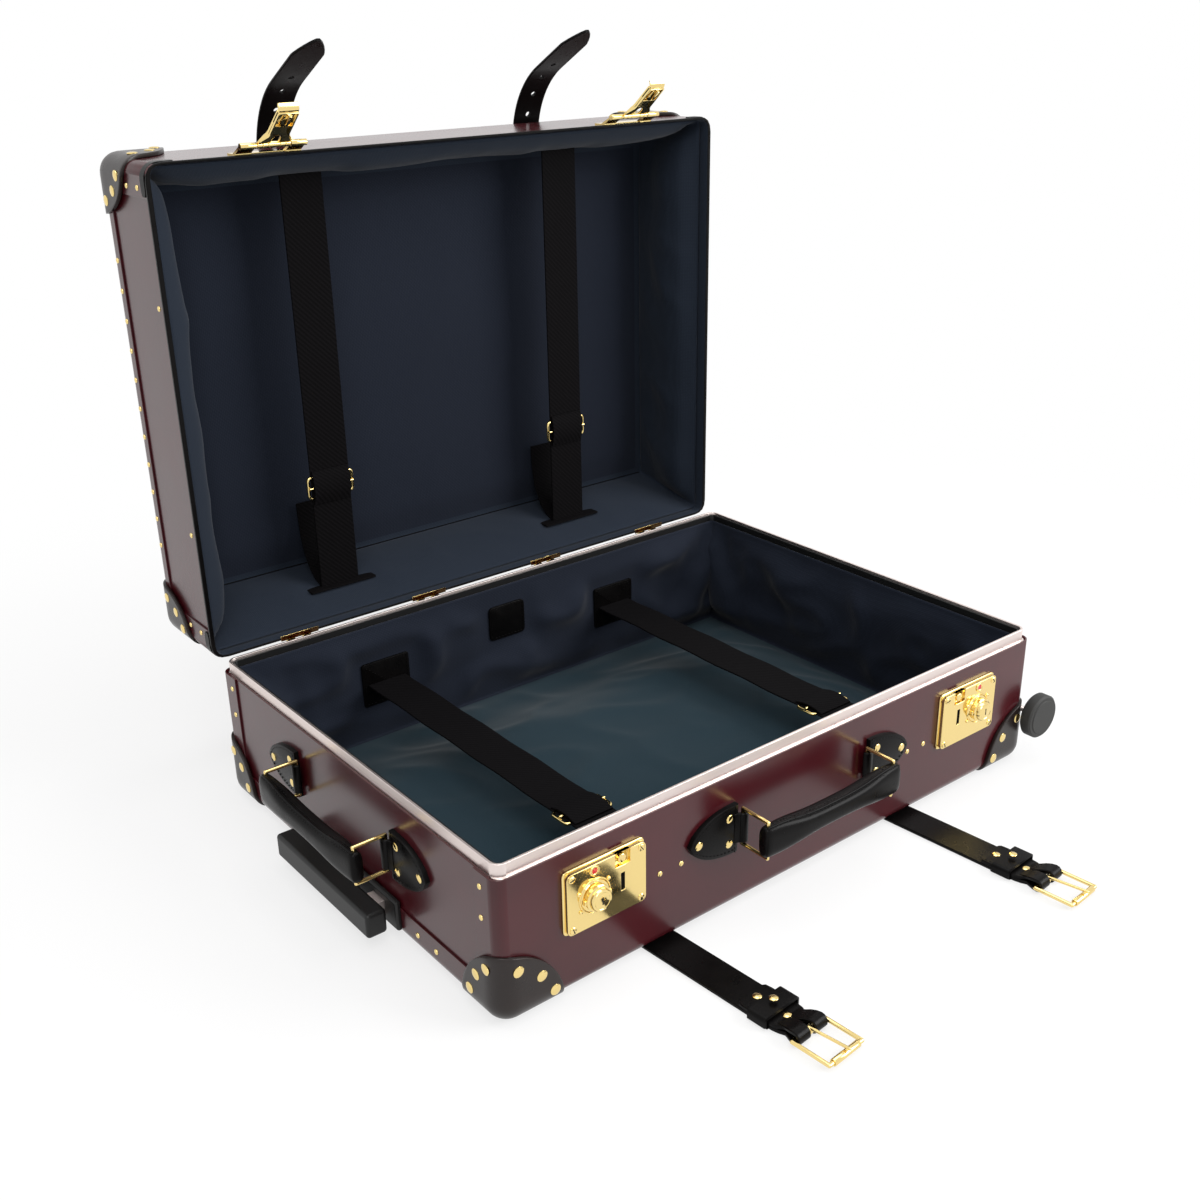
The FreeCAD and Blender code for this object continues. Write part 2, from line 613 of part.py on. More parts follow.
# Hinges: leaves on the two back walls with knuckles round outboard pins
KNUCKLE = d.knuckle_radius.value
LEAF = d.leaf_wall.value
wall_y = half_y.value
bore = d.pin_radius.value + d.running_fit.value
lid_leaf_low = lid_edge.value + d.binding_height.value + d.clearance.value
KNUCKLES = 5
leaf_end = pin_z.value - d.hinge_leaf.value
leaf_top = lid_leaf_low + d.hinge_leaf.value
arm_top = pin_z.value - d.knuckle_step.value
plate_low = lid_leaf_low + d.leaf_start.value
hinge_outer = half_x.value - d.hinge_inset.value
base_leaf_section = ((wall_y, leaf_end), (wall_y + LEAF, leaf_end),
                     (wall_y + LEAF, pin_z.value - KNUCKLE), (pin_y.value, pin_z.value - KNUCKLE),
                     (pin_y.value, arm_top), (wall_y, arm_top))
lid_leaf_section = ((wall_y, leaf_top), (wall_y, lid_leaf_low), (wall_y + LEAF, lid_leaf_low),
                    (pin_y.value - KNUCKLE, pin_z.value), (pin_y.value, pin_z.value),
                    (pin_y.value + 0.8 * KNUCKLE, pin_z.value + 0.6 * KNUCKLE),
                    (wall_y + LEAF + d.leaf_swell.value, lid_leaf_low + d.leaf_shoulder.value),
                    (wall_y + LEAF, leaf_top))
base_leaves = []
lid_leaves = []
pins = []
part_length = d.hinge_length.value / KNUCKLES
for middle in (-hinge_outer, -d.hinge_inner.value, d.hinge_inner.value, hinge_outer):
    start = middle - d.hinge_length.value / 2
    end = start + d.hinge_length.value
    sets = {0: [], 1: []}
    for index in range(KNUCKLES):
        low = start + index * part_length + d.clearance.value / 2
        high = low + part_length - d.clearance.value
        section = lid_leaf_section if index % 2 else base_leaf_section
        knuckle = bar_x(pin_y.value, pin_z.value, KNUCKLE, low, high)
        sets[index % 2].append(outline_yz(section, low, high).fuse(knuckle))
    base_plate = outline_yz(base_leaf_section[:2] + ((wall_y + LEAF, pin_z.value - KNUCKLE),
                                                     (wall_y, pin_z.value - KNUCKLE)), start, end)
    lid_plate = outline_yz(((wall_y, plate_low), (wall_y + LEAF, plate_low), (wall_y + LEAF, leaf_top),
                            (wall_y, leaf_top)), start, end)
    hole = bar_x(pin_y.value, pin_z.value, bore, start - 1, end + 1)
    base_leaves.append(base_plate.multiFuse(sets[0]).cut(hole).removeSplitter())
    lid_leaves.append(lid_plate.multiFuse(sets[1]).cut(hole).removeSplitter())
    pins.append(bar_x(pin_y.value, pin_z.value, d.pin_radius.value, start, end))
node(solid_from("base_leaf_set", Part.makeCompound(base_leaves + pins)), "hinge_base_leaves")
lid_node([solid_from("lid_leaf_set", Part.makeCompound(lid_leaves))], "hinge_lid_leaves")

# Locks: drawn round their own middle on the XZ plane and set against the front wall
indicator_dots = []
face_y = -half_y - d.lock_wall
lock_place = half_x.value - d.lock_inset.value
hasp_place = lock_place - d.slot_offset.value
for side, word in SIDES:
    lock = new_body("lock_body_" + word)
    half_l = d.lock_length.value / 2
    half_h = d.lock_height.value / 2
    plate = sketch_on(lock, "lock_outline_" + word, "XZ_Plane",
                      loop(((-half_l, -half_h), (half_l, -half_h), (half_l, half_h), (-half_l, half_h))))
    pad(lock, "lock_plate_" + word, plate, d.lock_wall)
    front = d.lock_wall.value
    knob_x = side * d.knob_offset.value
    slot_x = -side * d.slot_offset.value
    bore_sketch = sketch_on(lock, "knob_hole_" + word, "XZ_Plane",
                            circle(knob_x, 0, d.knob_shaft.value + d.running_fit.value), front)
    pocket(lock, "knob_bore_" + word, bore_sketch, d.lock_wall - d.bore_floor)
    slot_w = d.slot_width.value / 2
    slot_h = d.slot_height.value / 2
    slot_sketch = sketch_on(lock, "slot_outline_" + word, "XZ_Plane",
                            loop(((slot_x - slot_w, -slot_h), (slot_x + slot_w, -slot_h),
                                  (slot_x + slot_w, slot_h),
                                  (slot_x - slot_w, slot_h))), front)
    pocket(lock, "key_slot_" + word, slot_sketch, d.recess_depth)
    rec_w = d.recess_width.value / 2
    rec_low = half_h - d.recess_height.value
    recess_sketch = sketch_on(lock, "recess_outline_" + word, "XZ_Plane",
                              loop(((slot_x - rec_w, rec_low), (slot_x + rec_w, rec_low),
                                    (slot_x + rec_w, half_h + 1), (slot_x - rec_w, half_h + 1))), front)
    pocket(lock, "hook_recess_" + word, recess_sketch, d.recess_depth)
    lock_spot = V(side * lock_place, -half_y.value, d.lock_level.value)
    node(lock, "lock_case_" + word, PLACE(lock_spot, TURN()))
    for a in (-1, 1):
        for b in (-1, 1):
            spot = lock_spot + V(a * d.screw_x.value, -front, b * d.screw_z.value)
            base_heads.append(rivet(spot, V(0, -1, 0), SMALL))
    dot = lock_spot + V(knob_x, -front, d.dot_rise.value)
    indicator_dots.append(Part.makeCylinder(d.dot_radius.value, d.dot_height.value, dot, V(0, -1, 0)))

    knob = new_body("knob_body_" + word)
    shaft = d.knob_shaft.value
    rise = d.knob_height.value
    lift = d.clearance.value
    drop = d.lock_wall.value - d.bore_floor.value - d.shaft_end_gap.value
    wide = d.knob_radius.value
    face = d.knob_face.value
    chamfer = d.knob_chamfer.value
    key_half = d.key_width.value / 2
    key_tall = d.key_height.value / 2
    half_section = sketch_on(knob, "knob_section_" + word, "XY_Plane",
                             loop(((0, -drop), (shaft, -drop), (shaft, lift), (wide, lift),
                                   (wide, lift + d.knob_rim.value),
                                   (wide - d.knob_step.value, lift + d.knob_shoulder.value),
                                   (face + chamfer, rise - chamfer), (face, rise), (0, rise))))
    spun(knob, "knob_turned_" + word, half_section)
    key_way = sketch_on(knob, "key_way_" + word, "XZ_Plane",
                        loop(((-key_half, -key_tall), (key_half, -key_tall), (key_half, key_tall),
                              (-key_half, key_tall))), -rise)
    pocket(knob, "key_cut_" + word, key_way, d.key_depth, True)
    node(knob, "lock_knob_" + word, PLACE(lock_spot + V(knob_x, -front, 0), TURN(V(0, 0, 1), 180)))
node(solid_from("lock_dot_set", Part.makeCompound(indicator_dots)), "lock_indicators")

# Hasps: a leaf on the lid's front wall and a swinging flap that hooks into the lock slot
BARREL = d.barrel_radius.value
hasp_y = -half_y.value - d.hasp_out.value
hasp_z = lid_edge.value + d.hasp_up.value
front_y = -half_y.value
leaf_low = lid_leaf_low
hasp_top = leaf_low + d.hasp_leaf_height.value
hasp_start = leaf_low + d.hasp_leaf_start.value
hasp_section = ((front_y, hasp_top), (front_y, leaf_low), (front_y - LEAF, leaf_low),
                (hasp_y, hasp_z - 0.5 * BARREL), (hasp_y, hasp_z + 0.9 * BARREL),
                (front_y - LEAF, hasp_z + d.hasp_neck.value), (front_y - LEAF, hasp_top))
hasp_leaves = []
for side, word in SIDES:
    middle = side * hasp_place
    half_leaf = d.hasp_leaf.value / 2
    root = d.hasp_root.value / 2
    tip = d.hasp_tip.value / 2
    plate = outline_yz(((front_y, hasp_start), (front_y - LEAF, hasp_start), (front_y - LEAF, hasp_top),
                        (front_y, hasp_top)), middle - half_leaf, middle + half_leaf)
    arms = []
    for end in (-1, 1):
        near, far = sorted((middle + end * (root + d.clearance.value), middle + end * half_leaf))
        arms.append(outline_yz(hasp_section, near, far).fuse(bar_x(hasp_y, hasp_z, BARREL, near, far)))
    bore_half = half_leaf - d.pin_end.value
    pin_half = bore_half - d.clearance.value
    hole = bar_x(hasp_y, hasp_z, bore, middle - bore_half, middle + bore_half)
    hasp_leaves.append(plate.multiFuse(arms).cut(hole).removeSplitter())

    barrel = bar_x(hasp_y, hasp_z, BARREL, middle - root, middle + root)
    pin = bar_x(hasp_y, hasp_z, d.pin_radius.value, middle - pin_half, middle + pin_half)
    wall = d.hasp_wall.value
    back = hasp_y + wall / 2
    shoulder = hasp_z - d.hasp_shoulder.value
    neck = shoulder - d.hasp_slope.value
    foot = hasp_z - d.hasp_length.value
    flap_points = [V(middle + a, back, b) for a, b in ((-root, hasp_z), (root, hasp_z), (root, shoulder),
                                                       (tip, neck), (tip, foot), (-tip, foot),
                                                       (-tip, neck), (-root, shoulder))]
    flap = Part.Face(Part.makePolygon(flap_points + flap_points[:1])).extrude(V(0, -wall, 0))
    lip_tip = back - wall - d.lip_out.value
    lip_high = foot + d.lip_rise.value
    lip_low = foot - d.lip_drop.value
    lip = outline_yz(((back, lip_high), (back - wall, lip_high), (lip_tip, lip_low + d.lip_edge.value),
                      (lip_tip + d.lip_edge.value, lip_low), (back, foot)), middle - tip, middle + tip)
    hook_low = d.lock_level.value + d.lock_height.value / 2 - d.hook_below.value - d.hook_height.value
    hook_reach = face_y.value - back + d.recess_depth.value - d.hook_short.value + wall
    hook = Part.makeBox(d.hook_width.value, hook_reach, d.hook_height.value,
                        V(middle - d.hook_width.value / 2, back - wall, hook_low))
    whole = barrel.multiFuse([pin, flap, lip, hook]).removeSplitter()
    lean = PLACE(V(), TURN(V(1, 0, 0), -d.hasp_lean.value), V(0, hasp_y, hasp_z))
    node(solid_from("hasp_flap_" + word, whole), "hasp_" + word, LID_OPEN.multiply(lean))
lid_node([solid_from("hasp_leaf_set", Part.makeCompound(hasp_leaves))], "hasp_leaves")

# Carrying handles: drawn on the front wall; the side handle is the same set turned on to the left end
WIRE = d.ring_wire.value
ring_out = -half_y.value - d.ring_standoff.value
far_out = ring_out - d.ring_length.value
level = d.handle_level.value
ring_half = d.ring_height.value / 2
SIDE_TURN = PLACE(V(-panel_x.value + half_y.value, 0, 0), TURN(V(0, 0, 1), -90))
handle_bore = WIRE + d.running_fit.value


def anchor_shape(side):
    """A half-oval leather plate with a leather knuckle round the ring's root bar."""
    root = side * d.ring_place.value
    start = d.ring_place.value + d.anchor_start.value
    straight = d.anchor_length.value - d.anchor_height.value / 2
    half = d.anchor_height.value / 2
    plate = Part.makeBox(straight, d.anchor_wall.value, 2 * half, V(0, -d.anchor_wall.value, -half))
    round_end = Part.makeCylinder(half, d.anchor_wall.value, V(straight, 0, 0), V(0, -1, 0))
    plate = plate.fuse(round_end).removeSplitter()
    if side < 0:
        plate = plate.mirror(V(), V(1, 0, 0))
    plate.translate(V(side * start, -half_y.value, level))
    tall = d.knuckle_height.value
    knuckle = Part.makeCylinder(d.anchor_knuckle.value, tall, V(root, ring_out, level - tall / 2))
    thick = d.bridge_wall.value
    bridge = Part.makeBox(d.bridge_length.value, thick, tall,
                          V(min(root, side * (start + d.bridge_lap.value)), -half_y.value - thick,
                            level - tall / 2))
    hole = Part.makeCylinder(handle_bore, tall + 2, V(root, ring_out, level - tall / 2 - 1))
    return plate.multiFuse([knuckle, bridge]).cut(hole).removeSplitter()


def ring_shape(side):
    """A rectangular wire ring from its root bar out to its far bar."""
    root = side * d.ring_place.value
    corners = [V(root, ring_out, level - ring_half), V(root, ring_out, level + ring_half),
               V(root, far_out, level + ring_half), V(root, far_out, level - ring_half)]
    bars = []
    for start, end in zip(corners, corners[1:] + corners[:1]):
        bars.append(Part.makeCylinder(WIRE, start.distanceToPoint(end), start, end - start))
    knees = [Part.makeSphere(WIRE, corner) for corner in corners]
    return bars[0].multiFuse(bars[1:] + knees).removeSplitter()


def grip_shape():
    """A leather grip, thick at both ends and slimmer in the middle, bored for the two far bars."""
    reach = d.ring_place.value + d.grip_overhang.value
    end = (d.grip_end.value, d.grip_end_depth.value)
    shoulder = (d.grip_waist.value + d.grip_swell.value, d.grip_depth.value)
    waist = (d.grip_waist.value, d.grip_depth.value)
    sections = []
    for share, (tall, deep) in ((-1.0, end), (-0.6, shoulder), (0.0, waist), (0.6, shoulder), (1.0, end)):
        oval = Part.Ellipse(V(), tall / 2, deep / 2)
        edge_curve = oval.toShape()
        edge_curve.Placement = PLACE(V(share * reach, far_out, level), TURN(V(0, 0, 1), V(1, 0, 0)))
        sections.append(Part.Wire([edge_curve]))
    bulk = Part.makeLoft(sections, True, False)
    tall = d.grip_end.value
    holes = [Part.makeCylinder(handle_bore, 2 * tall, V(side * d.ring_place.value, far_out, level - tall))
             for side, word in SIDES]
    return bulk.cut(Part.makeCompound(holes))


anchors = [anchor_shape(side) for side, word in SIDES]
side_anchors = [shape.copy() for shape in anchors]
for shape in side_anchors:
    shape.Placement = SIDE_TURN.multiply(shape.Placement)
node(solid_from("anchor_set", Part.makeCompound(anchors + side_anchors)), "handle_anchors")
tip_x = d.ring_place.value + d.anchor_start.value + d.anchor_length.value - d.anchor_tip_rivet.value
root_x = d.ring_place.value + d.anchor_rivet_place.value
root_rise = d.anchor_rivet_rise.value
for side, word in SIDES:
    for along, up in ((tip_x, 0.0), (root_x, root_rise), (root_x, -root_rise)):
        head = rivet(V(side * along, -half_y.value - d.anchor_wall.value, level + up), V(0, -1, 0),
                     d.anchor_rivet.value)
        turned = head.copy()
        turned.Placement = SIDE_TURN.multiply(turned.Placement)
        base_heads.extend((head, turned))
node(solid_from("base_rivet_set", Part.makeCompound(base_heads)), "base_rivets")
for side, word in SIDES:
    node(solid_from("front_ring_shape_" + word, ring_shape(side)), "front_ring_" + word)
    node(solid_from("side_ring_shape_" + word, ring_shape(side)),
         "side_ring_" + ("back" if side < 0 else "front"),
         SIDE_TURN)
node(solid_from("front_grip_shape", grip_shape()), "front_grip")
node(solid_from("side_grip_shape", grip_shape()), "side_grip", SIDE_TURN)

# Pull handle: a bar on two tubes that run in sleeves under the lining
bezel_low = d.pull_level - d.bezel_height / 2
bezel_block = rounded("bezel_block", box("bezel_plate", (-half_x - d.bezel_wall, -d.bezel_length / 2,
                                                         bezel_low),
                                         (-half_x, d.bezel_length / 2, bezel_low + d.bezel_height)),
                      d.bezel_radius, lambda e: all(v.X < -half_x.value - 1 for v in e.Vertexes))
node(cut("bezel_cut", bezel_block, *tube_windows("bezel_tube_way", d.tube_play)), "pull_bezel")
pull_near = -half_x - d.bezel_wall - d.pull_gap
pull_middle = d.pull_level - d.pull_drop
pull_block = box("pull_block", (pull_near - d.pull_depth, -d.pull_length / 2,
                                pull_middle - d.pull_height / 2),
                 (pull_near, d.pull_length / 2, pull_middle + d.pull_height / 2))
node(rounded("pull_round", pull_block, d.pull_radius, lambda e: True), "pull_bar")
tubes = []
sleeves = []
tray_floor = under + d.board
for side, word in SIDES:
    middle = side * d.tube_place
    half_w = d.tube_width / 2
    half_t = d.tube_height / 2
    hole_w = half_w - d.tube_wall
    hole_t = half_t - d.tube_wall
    tubes.append(cut("tube_" + word,
                     box("tube_block_" + word, (pull_near, middle - half_w, d.pull_level - half_t),
                         (pull_near + d.tube_length, middle + half_w, d.pull_level + half_t)),
                     box("tube_hollow_" + word, (pull_near + d.tube_end, middle - hole_w,
                                                 d.pull_level - hole_t),
                         (pull_near + d.tube_length + 1, middle + hole_w, d.pull_level + hole_t))))
    shell = cut("sleeve_shell_" + word,
                box("sleeve_block_" + word, (-inner_x, middle - sleeve_half, sleeve_bottom),
                    (sleeve_end, middle + sleeve_half, sleeve_top)),
                box("sleeve_hollow_" + word,
                    (-inner_x - 1, middle - half_w - d.tube_play, d.pull_level - half_t - d.tube_play),
                    (sleeve_end + 1, middle + half_w + d.tube_play, d.pull_level + half_t + d.tube_play)))
    saddles = []
    for index in range(3):
        start = -inner_x + d.saddle_start + index * (d.sleeve_length / 2 - d.saddle_length)
        saddles.append(box("saddle_%s_%d" % (word, index), (start, middle - sleeve_half, tray_floor),
                           (start + d.saddle_length, middle + sleeve_half, sleeve_bottom + d.saddle_lap)))
    sleeves.append(fuse("sleeve_" + word, shell, *saddles))
node(group("tube_pair", tubes), "pull_tubes")
node(group("sleeve_pair", sleeves), "pull_sleeves")

# Wheels on one axle outside the right end
axle_x = half_x + d.wheel_out
wheel_near = half_y + d.wheel_stand
brackets = []
for side, word in SIDES:
    middle = side * d.bracket_place
    block = box("bracket_block_" + word, (panel_x, middle - d.bracket_width / 2,
                                          d.wheel_level - d.bracket_half),
                (axle_x + d.bracket_end, middle + d.bracket_width / 2, d.wheel_level + d.bracket_half))
    bored = rod("bracket_bore_" + word, (axle_x, middle - d.bracket_width, d.wheel_level), "y",
                d.axle_radius + d.running_fit, 2 * d.bracket_width)
    brackets.append(cut("bracket_" + word, block, bored))
node(group("bracket_pair", brackets), "axle_brackets")
axle_half = wheel_near + d.axle_in_wheel - d.axle_end_gap
node(rod("axle", (axle_x, -axle_half, d.wheel_level), "y", d.axle_radius, 2 * axle_half), "wheel_axle")
for side, word in ((-1, "front"), (1, "back")):
    wheel = new_body("wheel_body_" + word)
    big = d.wheel_radius.value
    wide = d.wheel_width.value
    hole = d.axle_radius.value + d.running_fit.value
    deep = d.axle_in_wheel.value
    soft = d.tyre_chamfer.value
    disc = d.disc_radius.value
    side_face = wide - d.disc_rise.value
    section = sketch_on(wheel, "wheel_section_" + word, "XY_Plane",
                        loop(((hole, 0), (big - soft, 0), (big, soft), (big, side_face - soft),
                              (big - soft, side_face),
                              (disc + d.disc_slope.value, side_face), (disc, wide), (0, wide), (0, deep),
                              (hole, deep))))
    spun(wheel, "wheel_turned_" + word, section)
    node(wheel, "wheel_" + word, PLACE(V(axle_x.value, side * wheel_near.value, d.wheel_level.value),
                                       TURN(V(0, 0, 1), 180 if side < 0 else 0)))

# Belts: a fixed run under the base and a free end in front of it, each with a keeper and a roller buckle
B_HALF = d.belt_width.value / 2
B_WALL = d.belt_wall.value
B_LOW = d.belt_lift.value
pivot_y = half_y.value + d.belt_pivot.value
pivot_z = B_LOW + B_WALL / 2
bar_s = d.bar_place.value
bar_hole = d.buckle_wire.value + d.bar_play.value
bar_z = B_LOW + B_WALL + bar_hole
fold = bar_hole + B_WALL
top_z = B_LOW + 2 * B_WALL
skew_rise = d.belt_width / 2 * math.sin(math.radians(d.belt_skew.value))
run_front = -half_y - d.belt_pivot + d.belt_wall / 2 + skew_rise + d.clearance
runs = [box("belt_run_" + word, (side * d.belt_place - d.belt_width / 2, run_front,
                                 d.belt_lift + d.clearance),
            (side * d.belt_place + d.belt_width / 2, d.belt_under, d.belt_lift + d.clearance + d.belt_wall))
        for side, word in SIDES]
node(group("belt_run_pair", runs), "belt_runs")


def free_belt():
    """The belt's free end, doubled back round the buckle bar, along -Y from its bend line."""
    rear = d.return_start.value
    section = ((0, B_LOW), (-bar_s, B_LOW), (-bar_s, bar_z + fold),
               (-bar_s + d.fold_flat.value, bar_z + fold),
               (-bar_s + d.fold_slope.value, top_z), (-rear, top_z), (-rear, B_LOW + B_WALL),
               (0, B_LOW + B_WALL))
    strap = outline_yz(section, -B_HALF, B_HALF)
    nose = bar_x(0, pivot_z, B_WALL / 2, -B_HALF, B_HALF)
    wrap = bar_x(-bar_s, bar_z, fold, -B_HALF, B_HALF)
    bored = bar_x(-bar_s, bar_z, bar_hole, -B_HALF - 1, B_HALF + 1)
    slit = d.prong_slot.value
    opening = Part.makeBox(slit, 2 * fold + d.fold_flat.value, 4 * fold, V(-slit / 2, -bar_s - fold - 1, -1))
    return strap.multiFuse([nose, wrap]).cut(bored).cut(opening).removeSplitter()


def keeper_shape():
    """A leather loop standing over the doubled belt."""
    wall = d.keeper_wall.value
    inside = B_HALF + d.clearance.value
    high = top_z + d.keeper_gap.value
    length = d.keeper_end.value - d.keeper_start.value
    outer = Part.makeBox(2 * (inside + wall), length, high + wall - B_LOW,
                         V(-inside - wall, -d.keeper_end.value, B_LOW))
    hollow = Part.makeBox(2 * inside, length + 2, high - B_LOW + 1,
                          V(-inside, -d.keeper_end.value - 1, B_LOW - 1))
    return outer.cut(hollow)


def buckle_shape():
    """A wire frame: the near bar in the belt's fold, two sides and the far bar."""
    wire = d.buckle_wire.value
    half = d.buckle_half.value
    far = bar_s + d.buckle_length.value
    corners = [V(-half, -bar_s, bar_z), V(half, -bar_s, bar_z), V(half, -far, bar_z), V(-half, -far, bar_z)]
    bars = [Part.makeCylinder(wire, start.distanceToPoint(end), start, end - start)
            for start, end in zip(corners, corners[1:] + corners[:1])]
    knees = [Part.makeSphere(wire, corner) for corner in corners]
    return bars[0].multiFuse(bars[1:] + knees).removeSplitter()


def roller_shape():
    """A loose tube on the far bar."""
    far = bar_s + d.buckle_length.value
    half = d.roller_length.value / 2
    tube = bar_x(-far, bar_z, d.roller_radius.value, -half, half)
    return tube.cut(bar_x(-far, bar_z, d.buckle_wire.value + d.running_fit.value, -half - 1, half + 1))


def prong_shape():
    """A thin straight prong with an eye round the near bar, its tip over the roller."""
    wire = d.prong_wire.value
    far = bar_s + d.buckle_length.value
    half = d.prong_eye_half.value
    eye = bar_x(-bar_s, bar_z, d.prong_eye.value, -half, half)
    start = V(0, -bar_s, bar_z + d.prong_eye.value - wire)
    end = V(0, -far - d.prong_over.value, bar_z + d.roller_radius.value + wire + d.prong_lift.value)
    stem = Part.makeCylinder(wire, start.distanceToPoint(end), start, end - start)
    point = Part.makeSphere(wire, end)
    eye_hole = bar_x(-bar_s, bar_z, d.buckle_wire.value + d.running_fit.value, -2 * half, 2 * half)
    return eye.multiFuse([stem, point]).cut(eye_hole).removeSplitter()


def belt_rivets():
    """Two rivets through the doubled belt and one on the keeper."""
    keeper_top = top_z + d.keeper_gap.value + d.keeper_wall.value
    keeper_middle = (d.keeper_start.value + d.keeper_end.value) / 2
    places = ((d.return_start.value + d.belt_rivet_end.value, top_z),
              (d.keeper_end.value + d.belt_rivet_gap.value, top_z), (keeper_middle, keeper_top))
    heads = [rivet(V(0, -along, up), V(0, 0, 1), d.belt_rivet.value) for along, up in places]
    return Part.makeCompound(heads)


for side, word in SIDES:
    spot = V(side * d.belt_place.value - d.belt_shift.value, -pivot_y, 0)
    belt_place = PLACE(spot, TURN(V(0, 0, 1), d.belt_skew.value))
    for name, shape in (("base_belt", free_belt()), ("belt_keeper", keeper_shape()),
                        ("belt_rivets", belt_rivets()),
                        ("buckle", buckle_shape()), ("buckle_roller", roller_shape()),
                        ("prong", prong_shape())):
        node(solid_from("%s_shape_%s" % (name, word), shape), "%s_%s" % (name, word), belt_place)


# Lid belts: along the lid's top and out over its front edge as a curved tongue
BEND_STEPS = 8
HOLES = 4


def tongue_path():
    """Middle line of a lid belt in Y and Z, from its back end to the tip of its tongue."""
    rise = lid_top.value + d.belt_seat.value + B_WALL / 2
    bend = d.tongue_bend.value
    turn = math.radians(d.tongue_angle.value)
    y = -half_y.value - d.tongue_start.value
    points = [(d.lid_belt_back.value, rise), (y, rise)]
    for step in range(1, BEND_STEPS + 1):
        angle = turn * step / BEND_STEPS
        points.append((y - bend * math.sin(angle), rise - bend * (1 - math.cos(angle))))
    last_y, last_z = points[-1]
    long = d.tongue_length.value
    points.append((last_y - long * math.cos(turn), last_z - long * math.sin(turn)))
    return points


def ribbon(points, wall):
    """A flat strip's section: both sides of a middle line."""
    above = []
    below = []
    for index, (y, z) in enumerate(points):
        before = points[max(index - 1, 0)]
        after = points[min(index + 1, len(points) - 1)]
        run = math.hypot(after[0] - before[0], after[1] - before[1])
        out_y = (after[1] - before[1]) / run * wall / 2
        out_z = -(after[0] - before[0]) / run * wall / 2
        above.append((y + out_y, z + out_z))
        below.append((y - out_y, z - out_z))
    return above + below[::-1]


path = tongue_path()
lid_straps = []
for side, word in SIDES:
    middle = side * d.lid_belt_place.value
    strap = outline_yz(ribbon(path, B_WALL), middle - B_HALF, middle + B_HALF)
    (y_a, z_a), (y_b, z_b) = path[-2], path[-1]
    run = math.hypot(y_b - y_a, z_b - z_a)
    along = V(0, (y_b - y_a) / run, (z_b - z_a) / run)
    normal = V(0, along.z, -along.y)
    holes = []
    for index in range(HOLES):
        centre = V(middle, y_b, z_b) - along * (d.hole_start.value + index * d.hole_pitch.value)
        holes.append(Part.makeCylinder(d.hole_radius.value, 4 * B_WALL, centre - normal * 2 * B_WALL,
                                       normal))
    lid_straps.append(strap.cut(Part.makeCompound(holes)))
lid_node([solid_from("lid_strap_set", Part.makeCompound(lid_straps))], "lid_belts")

# Inner webbing with sliders, leather patches at its ends and a bare patch on the back wall
wall_face = lining_y - d.cloth - d.base_lining_taper
web_half = wall_face - d.patch_wall - d.web_seat
web_z = d.base_web_level
lid_web_z = lid_edge + d.lid_web_depth
depth_share = (d.lid_web_depth - d.lid_lining_start) / (lid_cloth_floor - lid_cloth_start)
lid_web_half = inner_y - d.clearance - d.cloth - d.lid_lining_taper * depth_share - d.lid_web_gap
webs = []
lid_webs = []
patches = []
for side, word in SIDES:
    left = side * d.web_place - d.web_width / 2
    webs.append(box("web_" + word, (left, -web_half, web_z - d.web_wall / 2),
                    (left + d.web_width, web_half, web_z + d.web_wall / 2)))
    lid_webs.append(box("lid_web_" + word, (left, -lid_web_half, lid_web_z - d.web_wall / 2),
                        (left + d.web_width, lid_web_half, lid_web_z + d.web_wall / 2)))
    patch_left = side * d.web_place - d.patch_width / 2
    for end, face in (("front", -wall_face), ("back", wall_face - d.patch_wall)):
        patches.append(box("patch_%s_%s" % (end, word), (patch_left, face, web_z - d.patch_height / 2),
                           (patch_left + d.patch_width, face + d.patch_wall, web_z + d.patch_height / 2)))
patches.append(box("label_patch", (d.label_shift - d.label_width / 2, wall_face - d.label_wall,
                                   d.label_level - d.label_height / 2),
                   (d.label_shift + d.label_width / 2, wall_face, d.label_level + d.label_height / 2)))
node(group("web_pair", webs), "base_webbing")
node(group("patch_set", patches), "lining_patches")
lid_node(lid_webs, "lid_webbing")


def slider(name, middle_x, middle_y, middle_z):
    """A flat frame that webbing runs through."""
    half_w = d.web_width / 2 + d.slider_margin
    way_w = d.web_width / 2 + d.clearance
    way_t = d.web_wall / 2 + d.clearance
    block = box(name + "_block", (middle_x - half_w, middle_y - d.slider_length / 2,
                                  middle_z - d.slider_wall / 2),
                (middle_x + half_w, middle_y + d.slider_length / 2, middle_z + d.slider_wall / 2))
    way = box(name + "_way", (middle_x - way_w, middle_y - d.slider_length, middle_z - way_t),
              (middle_x + way_w, middle_y + d.slider_length, middle_z + way_t))
    return cut(name, block, way)


for side, word in SIDES:
    node(slider("base_slide_" + word, side * d.web_place, -d.base_slider_place, web_z),
         "base_slider_" + word)
    lid_node([slider("lid_slide_" + word, side * d.web_place, d.lid_slider_place, lid_web_z)],
             "lid_slider_" + word)

doc.recompute()
for obj in doc.Objects:
    if "Invalid" in obj.State or "Error" in obj.State:
        raise RuntimeError("%s is in state %s" % (obj.Label, obj.State))
for obj in nodes:
    shape = obj.Shape
    if shape.isNull() or not shape.isValid():
        raise RuntimeError("%s has no valid shape" % obj.Label)
    shape.exportStep("parts/%s.step" % obj.Label)
    b = shape.BoundBox
    print("%-22s solids %2d volume %10.1f  x %.1f %.1f  y %.1f %.1f  z %.1f %.1f" % (
        obj.Label, len(shape.Solids), shape.Volume, b.XMin, b.XMax, b.YMin, b.YMax, b.ZMin, b.ZMax))
print(len(nodes), "nodes")
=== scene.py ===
"""An open cabin suitcase of riveted fibre board with leather corners, belts and handles."""
import json
import math

import bmesh
import bpy
from mathutils import Matrix, Vector, noise


